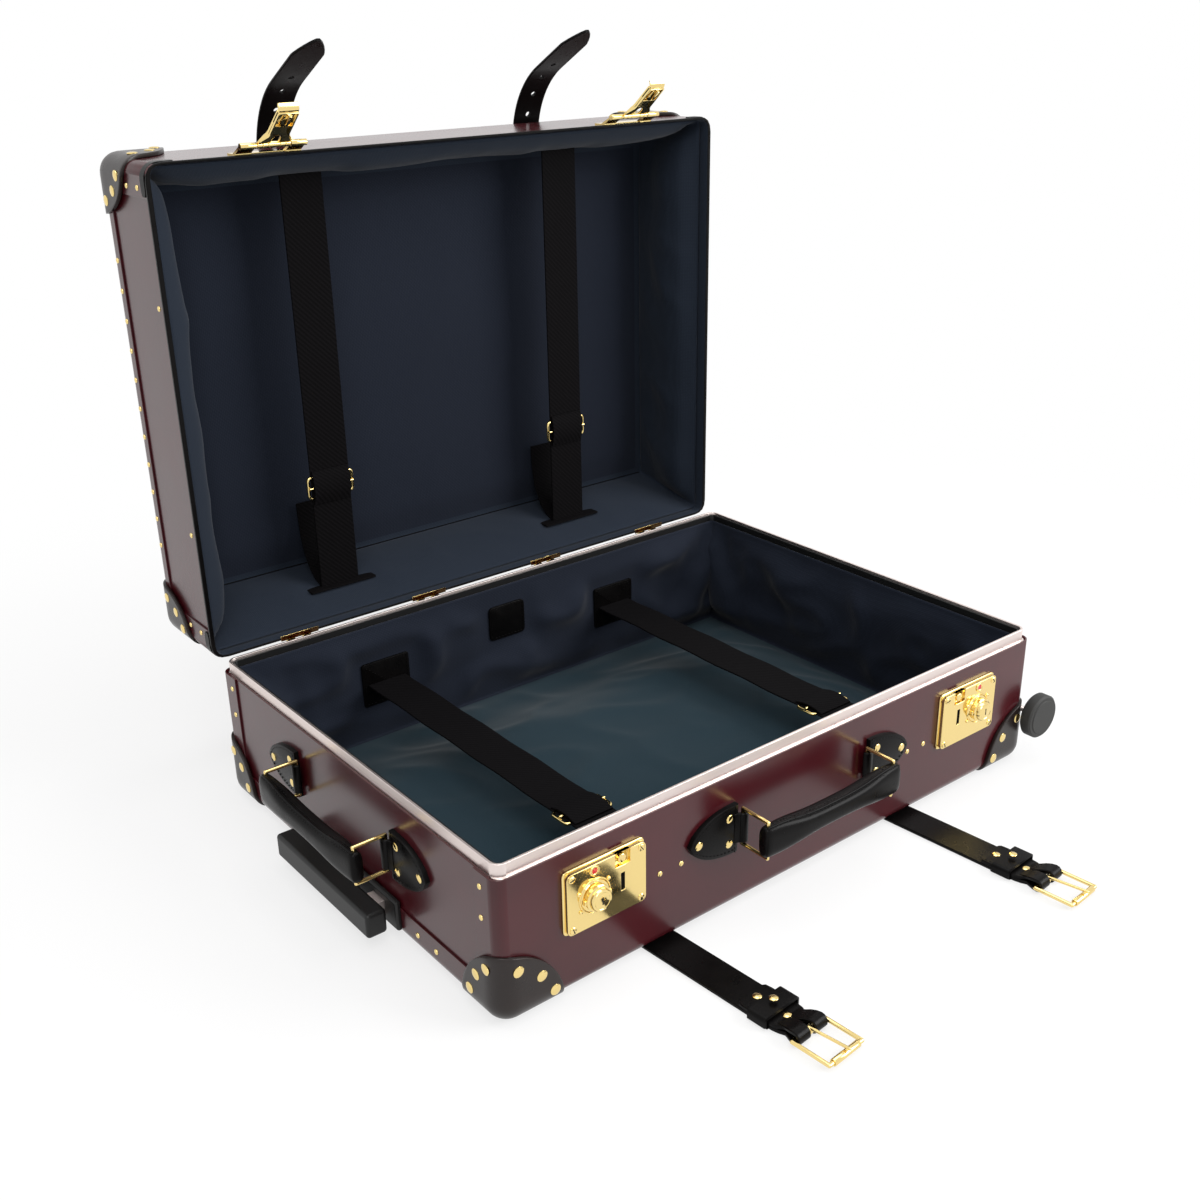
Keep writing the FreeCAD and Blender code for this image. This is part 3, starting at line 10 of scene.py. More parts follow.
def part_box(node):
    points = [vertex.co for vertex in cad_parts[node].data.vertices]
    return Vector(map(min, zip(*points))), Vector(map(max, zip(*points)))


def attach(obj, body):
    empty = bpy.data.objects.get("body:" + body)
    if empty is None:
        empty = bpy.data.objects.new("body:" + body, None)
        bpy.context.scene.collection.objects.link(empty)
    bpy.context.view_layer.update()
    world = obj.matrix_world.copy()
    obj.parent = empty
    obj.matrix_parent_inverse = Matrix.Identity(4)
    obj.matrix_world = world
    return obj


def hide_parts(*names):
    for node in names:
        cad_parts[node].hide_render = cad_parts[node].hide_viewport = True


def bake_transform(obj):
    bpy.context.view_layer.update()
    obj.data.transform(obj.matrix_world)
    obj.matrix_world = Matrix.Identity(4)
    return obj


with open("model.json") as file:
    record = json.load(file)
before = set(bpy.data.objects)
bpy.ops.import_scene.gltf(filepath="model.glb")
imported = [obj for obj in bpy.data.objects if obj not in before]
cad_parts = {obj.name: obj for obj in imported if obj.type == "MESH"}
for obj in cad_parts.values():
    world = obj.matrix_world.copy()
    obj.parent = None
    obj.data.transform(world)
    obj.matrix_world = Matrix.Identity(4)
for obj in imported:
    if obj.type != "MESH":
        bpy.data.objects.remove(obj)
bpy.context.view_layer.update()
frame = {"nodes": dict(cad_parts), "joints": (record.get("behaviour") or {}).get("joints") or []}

bl_info = {
    "name": "Riveted Suitcase",
    "version": (1, 0, 0),
    "blender": (4, 5, 0),
    "location": "View3D > Sidebar > Suitcase",
    "description": "Dresses the solid suitcase with its leather, cloth, lacquer and gold plate",
    "category": "Object",
}

MM = 0.001
SIDES = ((-1, "left"), (1, "right"))
X, Y, Z = Vector((1, 0, 0)), Vector((0, 1, 0)), Vector((0, 0, 1))
STILL = Matrix.Identity(4)
SHARP = 40  # degrees from which an edge counts as a corner


def linear(code):
    """An sRGB hex colour as linear red, green, blue."""
    parts = [int(code[i:i + 2], 16) / 255 for i in (1, 3, 5)]
    return [c / 12.92 if c <= 0.04045 else ((c + 0.055) / 1.055) ** 2.4 for c in parts]


def colour(label, note, code):
    """A colour that a user may change."""
    return bpy.props.FloatVectorProperty(name=label, description=note, default=linear(code), subtype="COLOR",
                                         size=3, min=0.0, max=1.0)


def length(label, note, millimetres):
    """A length that a user may change."""
    return bpy.props.FloatProperty(name=label, description=note, default=millimetres * MM, unit="LENGTH")


class SuitcaseColours(bpy.types.PropertyGroup):
    """Colours of the suitcase's finishes."""
    fibre: colour("Fibre board", "Lacquered board of both shells", "#481017")
    fibre_deep: colour("Fibre board, deep", "Darker clouds in the board's dye", "#340A10")
    leather: colour("Leather", "Corners, belts and handles", "#080707")
    corner: colour("Corner leather", "Moulded corners, a little browner", "#1E1614")
    gold: colour("Gold plate", "Locks, hasps, buckles and rivets", "#F0D690")
    cloth: colour("Lining", "Woven lining of both shells", "#1B202B")
    floor_cloth: colour("Floor lining", "Woven lining on the base floor", "#22323A")
    # Painted light: the lid's walls get the lining cloth in a lighter colour than the lid's floor, standing in for
    # light falling on them
    wall_cloth_painted_light: colour("Lid wall lining", "Woven lining round the lid, its nap turned to the light", "#222934")
    webbing: colour("Webbing", "Straps inside the case", "#060506")
    aluminium: colour("Aluminium", "Valance round the base", "#E6D9D4")
    plastic: colour("Moulded plastic", "Pull handle and inner band", "#101010")
    rubber: colour("Rubber", "Wheels", "#2E2E2D")
    enamel: colour("Enamel", "Dots on the locks", "#C8102E")


class SuitcaseSizes(bpy.types.PropertyGroup):
    """Sizes of what is added over the solid parts."""
    grain: length("Leather grain", "Width of a leather grain cell", 1.3)
    thread: length("Lining thread", "Spacing of the lining's threads as drawn", 1.6)
    rib: length("Webbing rib", "Spacing of the webbing's ribs as drawn", 2.2)
    stitch: length("Stitch", "Length of one stitch", 2.6)
    wrinkle: length("Wrinkle", "Depth of the lining's folds", 4.5)
    soft_edge: length("Soft edge", "Rounding of cut leather", 0.7)
    hard_edge: length("Hard edge", "Rounding of metal and board", 0.35)


def sizes():
    """The sizes in the scene."""
    return bpy.context.scene.suitcase_sizes


def colours():
    """The colours in the scene."""
    return bpy.context.scene.suitcase_colours


# Materials

MIX_FROM, MIX_TO, MIX_RESULT = 6, 7, 2  # colour sockets of a Mix node
WAVE_TURN = 0.31  # scale of a Wave node whose bands are one unit apart


def per(size):
    """The scale of a pattern whose cells are so many millimetres wide."""
    return 1 / (size * MM)


def link(node, links):
    """Feed a node's inputs from other nodes."""
    for name, socket in dict(links).items():
        node.id_data.links.new(socket, node.inputs[name])


def add(tree, kind, links=(), values=(), gives=0, **settings):
    """One node with its links, plain input values and settings, by the output that is used."""
    node = tree.nodes.new("ShaderNode" + kind)
    for name, value in settings.items():
        setattr(node, name, value)
    for name, value in dict(values).items():
        node.inputs[name].default_value = value
    link(node, links)
    return node.outputs[gives]


def surface(name, values):
    """A Principled material with plain values, its node tree, its shader and Object coordinates."""
    material = bpy.data.materials.new(name)
    material.use_nodes = True
    tree = material.node_tree
    shader = tree.nodes["Principled BSDF"]
    for key, value in values.items():
        shader.inputs[key].default_value = value
    return material, tree, shader, add(tree, "TexCoord", gives="Object")


def shade(rgb, factor=1.0):
    """A colour made lighter or darker, with alpha."""
    return (*[min(1.0, c * factor) for c in rgb], 1.0)


def patterned(shader, dye=None, relief=None, gloss=None):
    """Drive a shader's colour, relief and roughness by patterns, each given with its two settings."""
    tree = shader.id_data
    if dye:
        pattern, dark, light = dye
        link(shader, {"Base Color": add(tree, "Mix", {0: pattern}, {MIX_FROM: dark, MIX_TO: light}, MIX_RESULT,
                                        data_type="RGBA")})
    if relief:
        pattern, strength, depth = relief
        link(shader, {"Normal": add(tree, "Bump", {"Height": pattern}, {"Strength": strength, "Distance": depth})})
    if gloss:
        pattern, low, high = gloss
        link(shader, {"Roughness": add(tree, "MapRange", {"Value": pattern}, {"To Min": low, "To Max": high})})


def fibre_board():
    """Vulcanised fibre board, dyed through and lacquered: cloudy oxblood under a soft low gloss."""
    material, tree, shader, place = surface("fibre_board_lacquered", {
        "IOR": 1.48, "Specular IOR Level": 0.04, "Coat Weight": 0.9, "Coat Roughness": 0.22})
    cloud = add(tree, "TexNoise", {"Vector": place}, {"Scale": per(55), "Detail": 5.0})
    # Pressed fibre grain about 1.6 mm wide under the lacquer, and long waves of a hand-bent sheet
    grain = add(tree, "TexNoise", {"Vector": place}, {"Scale": per(1.6), "Detail": 3.0})
    wave = add(tree, "TexNoise", {"Vector": place}, {"Scale": per(70), "Detail": 1.0})
    height = add(tree, "Math", {0: wave, 2: grain}, {1: 9.0}, operation="MULTIPLY_ADD")
    patterned(shader, (cloud, shade(colours().fibre_deep), shade(colours().fibre)), (height, 0.34, 0.14 * MM),
              (cloud, 0.27, 0.42))
    return material


def leather(name="leather_vegetable_tanned", grain_scale=1.0, relief=0.3, gloss=0.11, rgb=None):
    """Vegetable tanned leather, dyed black and waxed: fine pebbled grain with a dull shine."""
    cell = sizes().grain * grain_scale
    rgb = rgb or colours().leather
    material, tree, shader, place = surface(name, {"IOR": 1.46, "Specular IOR Level": gloss})
    pebble = add(tree, "TexVoronoi", {"Vector": place}, {"Scale": 1 / cell}, "Distance", feature="DISTANCE_TO_EDGE")
    crease = add(tree, "TexNoise", {"Vector": place}, {"Scale": 1 / (9 * cell), "Detail": 6.0})
    height = add(tree, "Math", {0: pebble, 1: crease}, operation="ADD")
    patterned(shader, (crease, shade(rgb, 0.7), shade(rgb, 1.5)), (height, relief, 0.25 * MM), (crease, 0.2, 0.4))
    return material


def gold_plate():
    """Brass, polished and gold plated: pale yellow mirror with faint hairlines."""
    material, tree, shader, place = surface("brass_gold_plated", {
        "Base Color": shade(colours().gold), "Metallic": 1.0})
    hair = add(tree, "TexNoise", {"Vector": place}, {"Scale": per(4), "Detail": 4.0})
    patterned(shader, gloss=(hair, 0.05, 0.14))
    return material


def brushed_aluminium():
    """Aluminium section, extruded and brushed along its length: pale satin with fine streaks."""
    material, tree, shader, place = surface("aluminium_brushed", {
        "Base Color": shade(colours().aluminium), "Metallic": 1.0})
    # Streaks about 0.4 mm wide and 125 mm long run level round the frame
    stretched = add(tree, "Mapping", {"Vector": place}, {"Scale": (per(125), per(125), per(0.4))})
    streak = add(tree, "TexNoise", {"Vector": stretched}, {"Scale": 1.0, "Detail": 3.0})
    patterned(shader, None, (streak, 0.12, 0.1 * MM), (streak, 0.26, 0.48))
    return material


def lining_cloth(name, rgb):
    """Cotton and polyester twill, woven and piece dyed: slate blue with a soft bloom where it catches light."""
    # The real threads are about 0.4 mm apart; they are drawn coarser so that the weave shows
    scale = WAVE_TURN / sizes().thread
    material, tree, shader, place = surface(name, {
        "Roughness": 0.85, "Sheen Weight": 0.1, "Sheen Roughness": 0.4, "Specular IOR Level": 0.12})
    warp = add(tree, "TexWave", {"Vector": place}, {"Scale": scale, "Distortion": 1.2, "Detail": 2.0,
                                                    "Detail Scale": 3.0}, "Fac", bands_direction="DIAGONAL")
    weft = add(tree, "TexWave", {"Vector": place}, {"Scale": scale, "Distortion": 0.8, "Detail": 1.0}, "Fac",
               bands_direction="X")
    weave = add(tree, "Math", {0: warp, 1: weft}, operation="MULTIPLY")
    fold = add(tree, "TexNoise", {"Vector": place}, {"Scale": per(45), "Detail": 3.0})
    height = add(tree, "Math", {0: fold, 2: weave}, {1: 8.0}, operation="MULTIPLY_ADD")
    patterned(shader, (weave, shade(rgb, 0.94), shade(rgb, 1.12)), (height, 0.25, 0.24 * MM))
    return material


def webbing():
    """Polyester webbing, woven in ribs: matt black with lines across its width."""
    rgb = colours().webbing
    material, tree, shader, place = surface("webbing_woven", {"Roughness": 0.8, "Specular IOR Level": 0.07})
    # The real ribs are about 1 mm apart; they are drawn coarser so that they show
    rib = add(tree, "TexWave", {"Vector": place}, {"Scale": WAVE_TURN / sizes().rib, "Distortion": 0.4}, "Fac",
              bands_direction="DIAGONAL")
    patterned(shader, (rib, shade(rgb, 0.7), shade(rgb, 1.8)), (rib, 0.35, 0.4 * MM))
    return material


def moulded(name, rgb, roughness, grit):
    """Plastic or rubber, moulded in a spark-eroded tool: near black with a fine matt grit."""
    material, tree, shader, place = surface(name, {"Roughness": roughness, "Specular IOR Level": 0.35})
    speck = add(tree, "TexNoise", {"Vector": place}, {"Scale": per(grit), "Detail": 2.0})
    patterned(shader, (speck, shade(rgb, 0.8), shade(rgb, 1.25)), (speck, 0.18, 0.2 * MM))
    return material


def enamel():
    """Glass enamel, fired: deep red with a wet gloss."""
    rgb = colours().enamel
    material, tree, shader, place = surface("enamel_fired", {"Roughness": 0.12, "Coat Weight": 0.5})
    pool = add(tree, "TexNoise", {"Vector": place}, {"Scale": per(2)})
    patterned(shader, (pool, shade(rgb, 0.8), shade(rgb, 1.1)))
    return material


# The slot that each finish fills, and what makes its material
FINISHES = {
    "fibre": ("oxblood_fibre", fibre_board),
    "leather": ("black_leather", leather),
    "edging": ("black_leather", lambda: leather("edging_leather_pressed", 0.7, 0.16)),
    "corner": ("black_leather", lambda: leather("leather_wet_moulded", 1.2, 0.2, 0.42, list(colours().corner))),
    "gold": ("brass", gold_plate),
    "aluminium": ("aluminium", brushed_aluminium),
    "cloth": ("lining_cloth", lambda: lining_cloth("lining_twill_woven", colours().cloth)),
    "floor_cloth": ("lining_cloth", lambda: lining_cloth("floor_twill_woven", colours().floor_cloth)),
    # The lining cloth in a lighter colour, painted light on the lid's walls and its inner band
    "wall_cloth_painted_light": ("lining_cloth", lambda: lining_cloth("wall_twill_painted_light", colours().wall_cloth_painted_light)),
    "webbing": ("webbing", webbing),
    "plastic": ("black_plastic", lambda: moulded("plastic_moulded", colours().plastic, 0.45, 0.9)),
    "rubber": ("wheel_rubber", lambda: moulded("rubber_moulded", colours().rubber, 0.6, 1.2)),
    "enamel": ("red_enamel", enamel),
    # Near black, put in slots and screw cuts as painted shade
    "shadow": ("black_plastic", lambda: moulded("hole_painted_shade", linear("#070707"), 0.8, 1.0)),
}
made_finishes = {}


def finish(key):
    """The material of one finish, made once."""
    if key not in made_finishes:
        made_finishes[key] = FINISHES[key][1]()
    return made_finishes[key]


def modify(target, kind, **settings):
    """A modifier with its settings."""
    made = target.modifiers.new(kind.lower(), kind)
    for name, value in settings.items():
        setattr(made, name, value)
    return made


def dress(key, *names):
    """Give solid nodes a finish, with their sharp edges broken."""
    for name in names:
        node = frame["nodes"][name]
        node.data.materials.clear()
        node.data.materials.append(finish(key))
        modify(node, "WELD", merge_threshold=0.01 * MM)
        modify(node, "BEVEL", width=sizes().hard_edge, segments=2, limit_method="ANGLE",
               angle_limit=math.radians(SHARP), harden_normals=True)


def mesh_object(name, bm):
    """An object in the scene with a bmesh's shape."""
    mesh = bpy.data.meshes.new(name)
    bm.to_mesh(mesh)
    bm.free()
    made = bpy.data.objects.new(name, mesh)
    bpy.context.scene.collection.objects.link(made)
    return made


WHITE = (1.0, 1.0, 1.0, 1.0)
# Name, place, aim, size and power of each soft light
LIGHTS = (("key", (-1.6, -1.9, 2.6), (0.0, 0.0, 0.1), 1.6, 30.0),
          ("fill", (1.9, -2.0, 1.5), (0.0, 0.0, 0.2), 1.8, 72.0),
          ("top", (0.1, 0.0, 3.2), (0.0, 0.0, 0.0), 2.4, 42.0))
FLOOR_HALF = 12.0
# Metres from the middle at which the floor's shadow starts to pale and is gone, and how white it is before
PALE_FROM, PALE_TO, PALE = 0.42, 1.05, 0.72
LENS, SENSOR = 41.34, 36.0
CAMERA_AT, CAMERA_AHEAD, CAMERA_UP = (-0.6693, -0.8033, 0.619), (0.5695, 0.7191, -0.3983), (0.2608, 0.3015, 0.9171)


def seen_rays(tree):
    """1 for rays from the camera, from mirrors and through glass, 0 for light that is being gathered."""
    rays = add(tree, "LightPath").node.outputs
    either = add(tree, "Math", {0: rays["Is Camera Ray"], 1: rays["Is Glossy Ray"]}, operation="MAXIMUM")
    return add(tree, "Math", {0: either, 1: rays["Is Transmission Ray"]}, operation="MAXIMUM")


def paper():
    """Paper, rolled: white, with a soft shadow near the case, running out to plain white further off."""
    material, tree, shader, place = surface("paper_backdrop_rolled", {
        "Base Color": shade(linear("#F2F2F2")), "Roughness": 0.9, "Specular IOR Level": 0.0})
    far = add(tree, "VectorMath", {0: place}, gives="Value", operation="LENGTH")
    fade = add(tree, "MapRange", {"Value": far}, {"From Min": PALE_FROM, "From Max": PALE_TO, "To Min": PALE,
                                                  "To Max": 1.0}, interpolation_type="SMOOTHSTEP")
    share = add(tree, "Math", {0: seen_rays(tree), 1: fade}, operation="MULTIPLY")
    glow = add(tree, "Emission", values={"Color": WHITE, "Strength": 1.0})
    both = add(tree, "MixShader", {0: share, 1: shader.outputs[0], 2: glow})
    link(tree.nodes["Material Output"], {"Surface": both})
    return material


class SUITCASE_OT_stage(bpy.types.Operator):
    """Floor, soft lights and the camera"""
    bl_idname = "suitcase.stage"
    bl_label = "Stage"

    def execute(self, context):
        scene = context.scene
        scene.view_settings.view_transform = "Standard"
        bm = bmesh.new()
        bmesh.ops.create_grid(bm, x_segments=1, y_segments=1, size=FLOOR_HALF)
        floor = mesh_object("floor", bm)
        floor.data.materials.append(paper())
        scene.world = bpy.data.worlds.new("studio")
        scene.world.use_nodes = True
        tree = scene.world.node_tree
        backdrop = tree.nodes["Background"]
        backdrop.inputs["Color"].default_value = WHITE
        link(backdrop, {"Strength": add(tree, "MapRange", {"Value": seen_rays(tree)}, {"To Min": 0.5, "To Max": 1.0})})
        for name, spot, aim, size, power in LIGHTS:
            data = bpy.data.lights.new(name, "AREA")
            data.size = size
            data.energy = power
            lamp = bpy.data.objects.new(name, data)
            lamp.location = spot
            lamp.rotation_mode = "QUATERNION"
            lamp.rotation_quaternion = (Vector(aim) - Vector(spot)).to_track_quat("-Z", "Y")
            scene.collection.objects.link(lamp)
        data = bpy.data.cameras.new("camera")
        data.lens = LENS
        data.sensor_width = SENSOR
        camera = bpy.data.objects.new("camera", data)
        ahead = Vector(CAMERA_AHEAD).normalized()
        right = ahead.cross(Vector(CAMERA_UP).normalized()).normalized()
        turn = Matrix((right, right.cross(ahead), -ahead)).transposed()
        camera.matrix_world = Matrix.Translation(CAMERA_AT) @ turn.to_4x4()
        scene.collection.objects.link(camera)
        scene.camera = camera
        return {"FINISHED"}


class SUITCASE_OT_solids(bpy.types.Operator):
    """Board, metal, plastic and rubber parts that keep their solid shape"""
    bl_idname = "suitcase.solids"
    bl_label = "Solid parts"

    def execute(self, context):
        pairs = [name + "_" + word for name in ("front_ring", "buckle", "buckle_roller", "prong")
                 for word in ("left", "right")]
        dress("fibre", "base_tray", "base_end_panels", "lid_shell", "lid_end_panels")
        dress("aluminium", "base_valance", "pull_tubes", "pull_sleeves", "wheel_axle")
        dress("gold", "hinge_base_leaves", "hinge_lid_leaves", "hasp_leaves", "side_ring_back", "side_ring_front",
              *pairs)
        dress("plastic", "base_edge_band", "pull_bezel", "pull_bar", "axle_brackets")
        dress("rubber", "wheel_front", "wheel_back")
        dress("enamel", "lock_indicators")
        return {"FINISHED"}


# Shapes, in millimetres

def pin_of(joint):
    """Where a joint's axis stands."""
    return Vector(next(j["pos_m"] for j in frame["joints"] if j["name"] == joint)) / MM


def node_box(name):
    """A node's lowest and highest corner."""
    low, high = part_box(name)
    return low / MM, high / MM


def shift(x, y, z):
    """A move."""
    return Matrix.Translation((x, y, z))


def turned(degrees, axis):
    """A turn round one axis."""
    return Matrix.Rotation(math.radians(degrees), 4, axis)


# Lid pieces are drawn shut, and this turn opens them
LID = shift(*pin_of("lid")) @ turned(-90, "X") @ shift(*-pin_of("lid"))
HALF_X, HALF_Y, EDGE = node_box("base_tray")[1]
LID_EDGE = EDGE + 0.3  # a hair of room under the shut lid
LID_TOP = LID_EDGE + 94.0  # the lid's depth over it
BELT_X, BELT_WIDE = 130.0, 29.0  # middle and width of the leather belts
STRAP_X, STRAP_WIDE = 131.5, 38.0  # middle and width of the webbing
STRAP_Z = 62.6  # height of the base's webbing
HINGES_X = (-199.0, -67.0, 67.0, 199.0)
LABEL_X, LABEL_Z = 2.0, 82.0  # middle of the plain patch on the back wall
SEAM = 2.6  # from a leather edge to its stitches
STITCH_PITCH = 1.4  # from stitch to stitch, in stitches
THREAD_HALF, THREAD_HIGH = 0.42, 0.38


def facing(spot, out, up=Z):
    """A frame at a spot whose local Z points out and local Y points up."""
    away = Vector(out).normalized()
    level = Vector(up).cross(away).normalized()
    turn = Matrix((level, away.cross(level), away)).transposed().to_4x4()
    return Matrix.Translation(spot) @ turn


def new_verts(made):
    """The vertices among what an operator made."""
    return [g for g in made["geom"] if isinstance(g, bmesh.types.BMVert)]


def new_faces(made):
    """The faces among what an operator made."""
    return [g for g in made["geom"] if isinstance(g, bmesh.types.BMFace)]


def soften(bm, edges, width, segments=2):
    """Round some edges."""
    bmesh.ops.bevel(bm, geom=list(edges), offset=width, offset_type="OFFSET", segments=segments, profile=0.5,
                    affect="EDGES", material=-1, clamp_overlap=True)


def edges_of(verts):
    """The edges that end in some vertices, each once."""
    return list(dict.fromkeys(e for v in verts for e in v.link_edges))


def cube(bm, size, middle):
    """A plain block."""
    verts = bmesh.ops.create_cube(bm, size=1.0)["verts"]
    bmesh.ops.scale(bm, vec=size, verts=verts)
    bmesh.ops.translate(bm, vec=middle, verts=verts)
    return verts


def block(bm, low, high, edge=0.0, segments=2, place=STILL):
    """A block between two corners with rounded edges."""
    low, high = Vector(low), Vector(high)
    verts = cube(bm, high - low, (low + high) / 2)
    bmesh.ops.transform(bm, matrix=place, verts=verts)
    if edge:
        soften(bm, edges_of(verts), edge, segments)


def plate(bm, outline, thick, edge, place):
    """A flat plate with its outline in a frame's XY plane, raised along its Z."""
    face = bm.faces.new([bm.verts.new(place @ Vector((a, b, 0.0))) for a, b in outline])
    made = bmesh.ops.extrude_face_region(bm, geom=[face])
    bmesh.ops.translate(bm, vec=place.to_3x3() @ Vector((0, 0, thick)), verts=new_verts(made))
    soften(bm, new_faces(made)[0].edges, edge)


def lathe(bm, profile, place, steps):
    """A turned shape from radius and height pairs round a frame's Z."""
    verts = [bm.verts.new(place @ Vector((radius, 0.0, height))) for radius, height in profile]
    edges = [bm.edges.new(pair) for pair in zip(verts, verts[1:])]
    bmesh.ops.spin(bm, geom=verts + edges, cent=place.translation, axis=place.to_3x3() @ Z, angle=math.tau,
                   steps=steps, use_merge=True)
    bmesh.ops.remove_doubles(bm, verts=[v for v in bm.verts if v.is_valid], dist=0.0005)


def sweep(bm, rings):
    """A solid through a row of like outlines."""
    face = bm.faces.new([bm.verts.new(p) for p in rings[0]])
    for ring in rings[1:]:
        face = new_faces(bmesh.ops.extrude_face_region(bm, geom=[face, *face.edges]))[0]
        for vert, point in zip(face.verts, ring):
            vert.co = point


def strap(bm, points, side, widths, thick, soft=0.6, place=STILL):
    """A flat strap along a middle line; side points across it."""
    rings = []
    last = len(points) - 1
    high = thick / 2
    for index, point in enumerate(points):
        along = (points[min(index + 1, last)] - points[max(index - 1, 0)]).normalized()
        across = (side - along * side.dot(along)).normalized()
        up = across.cross(along)
        half = (widths[index] if isinstance(widths, list) else widths) / 2
        rings.append([place @ (point + across * a + up * b) for a, b in (
            (half, high - soft), (half - soft, high), (soft - half, high), (-half, high - soft),
            (-half, soft - high), (soft - half, -high), (half - soft, -high), (half, soft - high))])
    sweep(bm, rings)


def arc(middle, first, second, radius, start, end, count):
    """Points on an arc in the plane of two directions, angles in degrees."""
    angles = [math.radians(start + (end - start) * index / count) for index in range(count + 1)]
    return [middle + first * radius * math.cos(a) + second * radius * math.sin(a) for a in angles]


def between(start, end, count):
    """Evenly spaced points after the start, up to the end."""
    return [start.lerp(end, (index + 1) / count) for index in range(count)]


def rounded_corners(corners, radius, count=4):
    """A closed outline in two directions with its corners rounded."""
    outline = []
    for index, corner in enumerate(corners):
        here = Vector(corner)
        before = (Vector(corners[index - 1]) - here).normalized()
        after = (Vector(corners[(index + 1) % len(corners)]) - here).normalized()
        for step in range(count + 1):
            share = step / count
            curve = before * (1 - share) ** 2 + after * share ** 2
            outline.append(tuple(here + curve * radius))
    return outline


def rectangle(half_a, half_b, radius, count=4):
    """A rectangle round the origin with rounded corners."""
    corners = ((-half_a, -half_b), (half_a, -half_b), (half_a, half_b), (-half_a, half_b))
    return rounded_corners(corners, radius, count)


def stitches(bm, outline, place, closed=False):
    """A row of thread stitches along a line in a frame's XY plane."""
    size = sizes().stitch / MM
    points = [Vector((a, b, 0.0)) for a, b in outline]
    if closed:
        points.append(points[0])
    spare = size * STITCH_PITCH / 2
    for start, end in zip(points, points[1:]):
        run = (end - start).length
        along = (end - start).normalized()
        turn = Matrix((along, Z.cross(along), Z)).transposed().to_4x4()
        spot = spare
        while spot < run:
            here = place @ Matrix.Translation(start + along * spot + Vector((0, 0, 0.05))) @ turn
            bmesh.ops.create_icosphere(bm, subdivisions=1, radius=1.0,
                                       matrix=here @ Matrix.Diagonal((size / 2, THREAD_HALF, THREAD_HIGH, 1.0)))
            spot += size * STITCH_PITCH
        spare = spot - run


def inset_outline(outline, by):
    """A convex outline moved inwards."""
    middle = sum((Vector(p) for p in outline), Vector((0.0, 0.0))) / len(outline)
    moved = []
    for index, point in enumerate(outline):
        along = Vector(outline[(index + 1) % len(outline)]) - Vector(outline[index - 1])
        inward = Vector((-along.y, along.x)).normalized()
        if inward.dot(middle - Vector(point)) < 0:
            inward = -inward
        moved.append(tuple(Vector(point) + inward * by))
    return moved


def patch(bm, outline, thick, edge, place, seam=SEAM):
    """A leather plate sewn on round its edge; the frame of its upper face."""
    plate(bm, outline, thick, edge, place)
    face = place @ shift(0, 0, thick)
    stitches(bm, inset_outline(outline, seam), face, True)
    return face


def wire(bm, outline, radius, place):
    """A closed round wire along an outline in a frame's XY plane."""
    data = bpy.data.curves.new("wire", "CURVE")
    data.dimensions = "3D"
    data.bevel_depth = radius
    data.bevel_resolution = 4
    spline = data.splines.new("POLY")
    spline.points.add(len(outline) - 1)
    for point, (a, b) in zip(spline.points, outline):
        point.co = (a, b, 0.0, 1.0)
    spline.use_cyclic_u = True
    holder = bpy.data.objects.new("wire", data)
    mesh = bpy.data.meshes.new_from_object(holder)
    mesh.transform(place)
    bm.from_mesh(mesh)
    bpy.data.objects.remove(holder)
    bpy.data.curves.remove(data)
    bpy.data.meshes.remove(mesh)


def piece(name, bm, key, body, nodes=(), place=STILL, smooth=SHARP):
    """Make a finished piece: outward faces, its finish, the body it moves with and the nodes it stands for."""
    bmesh.ops.transform(bm, matrix=Matrix.Scale(MM, 4) @ place, verts=bm.verts)
    bmesh.ops.remove_doubles(bm, verts=bm.verts, dist=0.000002)
    bmesh.ops.recalc_face_normals(bm, faces=bm.faces)
    made = mesh_object(name, bm)
    made.data.materials.append(finish(key))
    made.data.shade_smooth()
    made.data.set_sharp_from_angle(angle=math.radians(smooth))
    if body:
        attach(made, body)
    if nodes:
        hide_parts(*nodes)
    return made


def drill(target, bm):
    """Cut a shape out of a finished piece."""
    bmesh.ops.recalc_face_normals(bm, faces=bm.faces)
    cutter = mesh_object("cutter", bm)
    holes = modify(target, "BOOLEAN", operation="DIFFERENCE", object=cutter)
    bpy.context.view_layer.update()
    cut = bpy.data.meshes.new_from_object(target.evaluated_get(bpy.context.evaluated_depsgraph_get()))
    target.modifiers.remove(holes)
    target.data = cut
    bpy.data.meshes.remove(cutter.data)


def rivet_places(node):
    """Where each rivet head of a node stands: its middle, its way out and its radius."""
    bm = bmesh.new()
    bm.from_mesh(frame["nodes"][node].data)
    bmesh.ops.scale(bm, vec=(1 / MM,) * 3, verts=bm.verts)
    bmesh.ops.remove_doubles(bm, verts=bm.verts, dist=0.01)
    left = dict.fromkeys(bm.verts)
    places = []
    while left:
        island = [left.popitem()[0]]
        for vert in island:
            for edge in vert.link_edges:
                other = edge.other_vert(vert)
                if other in left:
                    del left[other]
                    island.append(other)
        low, high = [Vector([pick(v.co[i] for v in island) for i in range(3)]) for pick in (min, max)]
        size = high - low
        thin = min(range(3), key=lambda i: size[i])
        middle = (low + high) / 2
        rim = [v for v in island if (v.co - middle).length > 0.45 * max(size)]
        foot = sum(v.co[thin] for v in rim) / len(rim)
        way = Vector((0.0, 0.0, 0.0))
        way[thin] = 1.0 if foot < middle[thin] else -1.0
        middle[thin] = low[thin] if way[thin] > 0 else high[thin]
        places.append((middle, way, max(size) / 2))
    bm.free()
    return places


def rivet_head(bm, spot, way, radius):
    """A low domed head."""
    lathe(bm, ((0.0, -0.2), (radius, -0.2), (radius, 0.25), (0.86 * radius, 0.62), (0.5 * radius, 0.92), (0.0, 1.02)),
          facing(spot, way, Z if abs(way.z) < 0.5 else Y), 14)


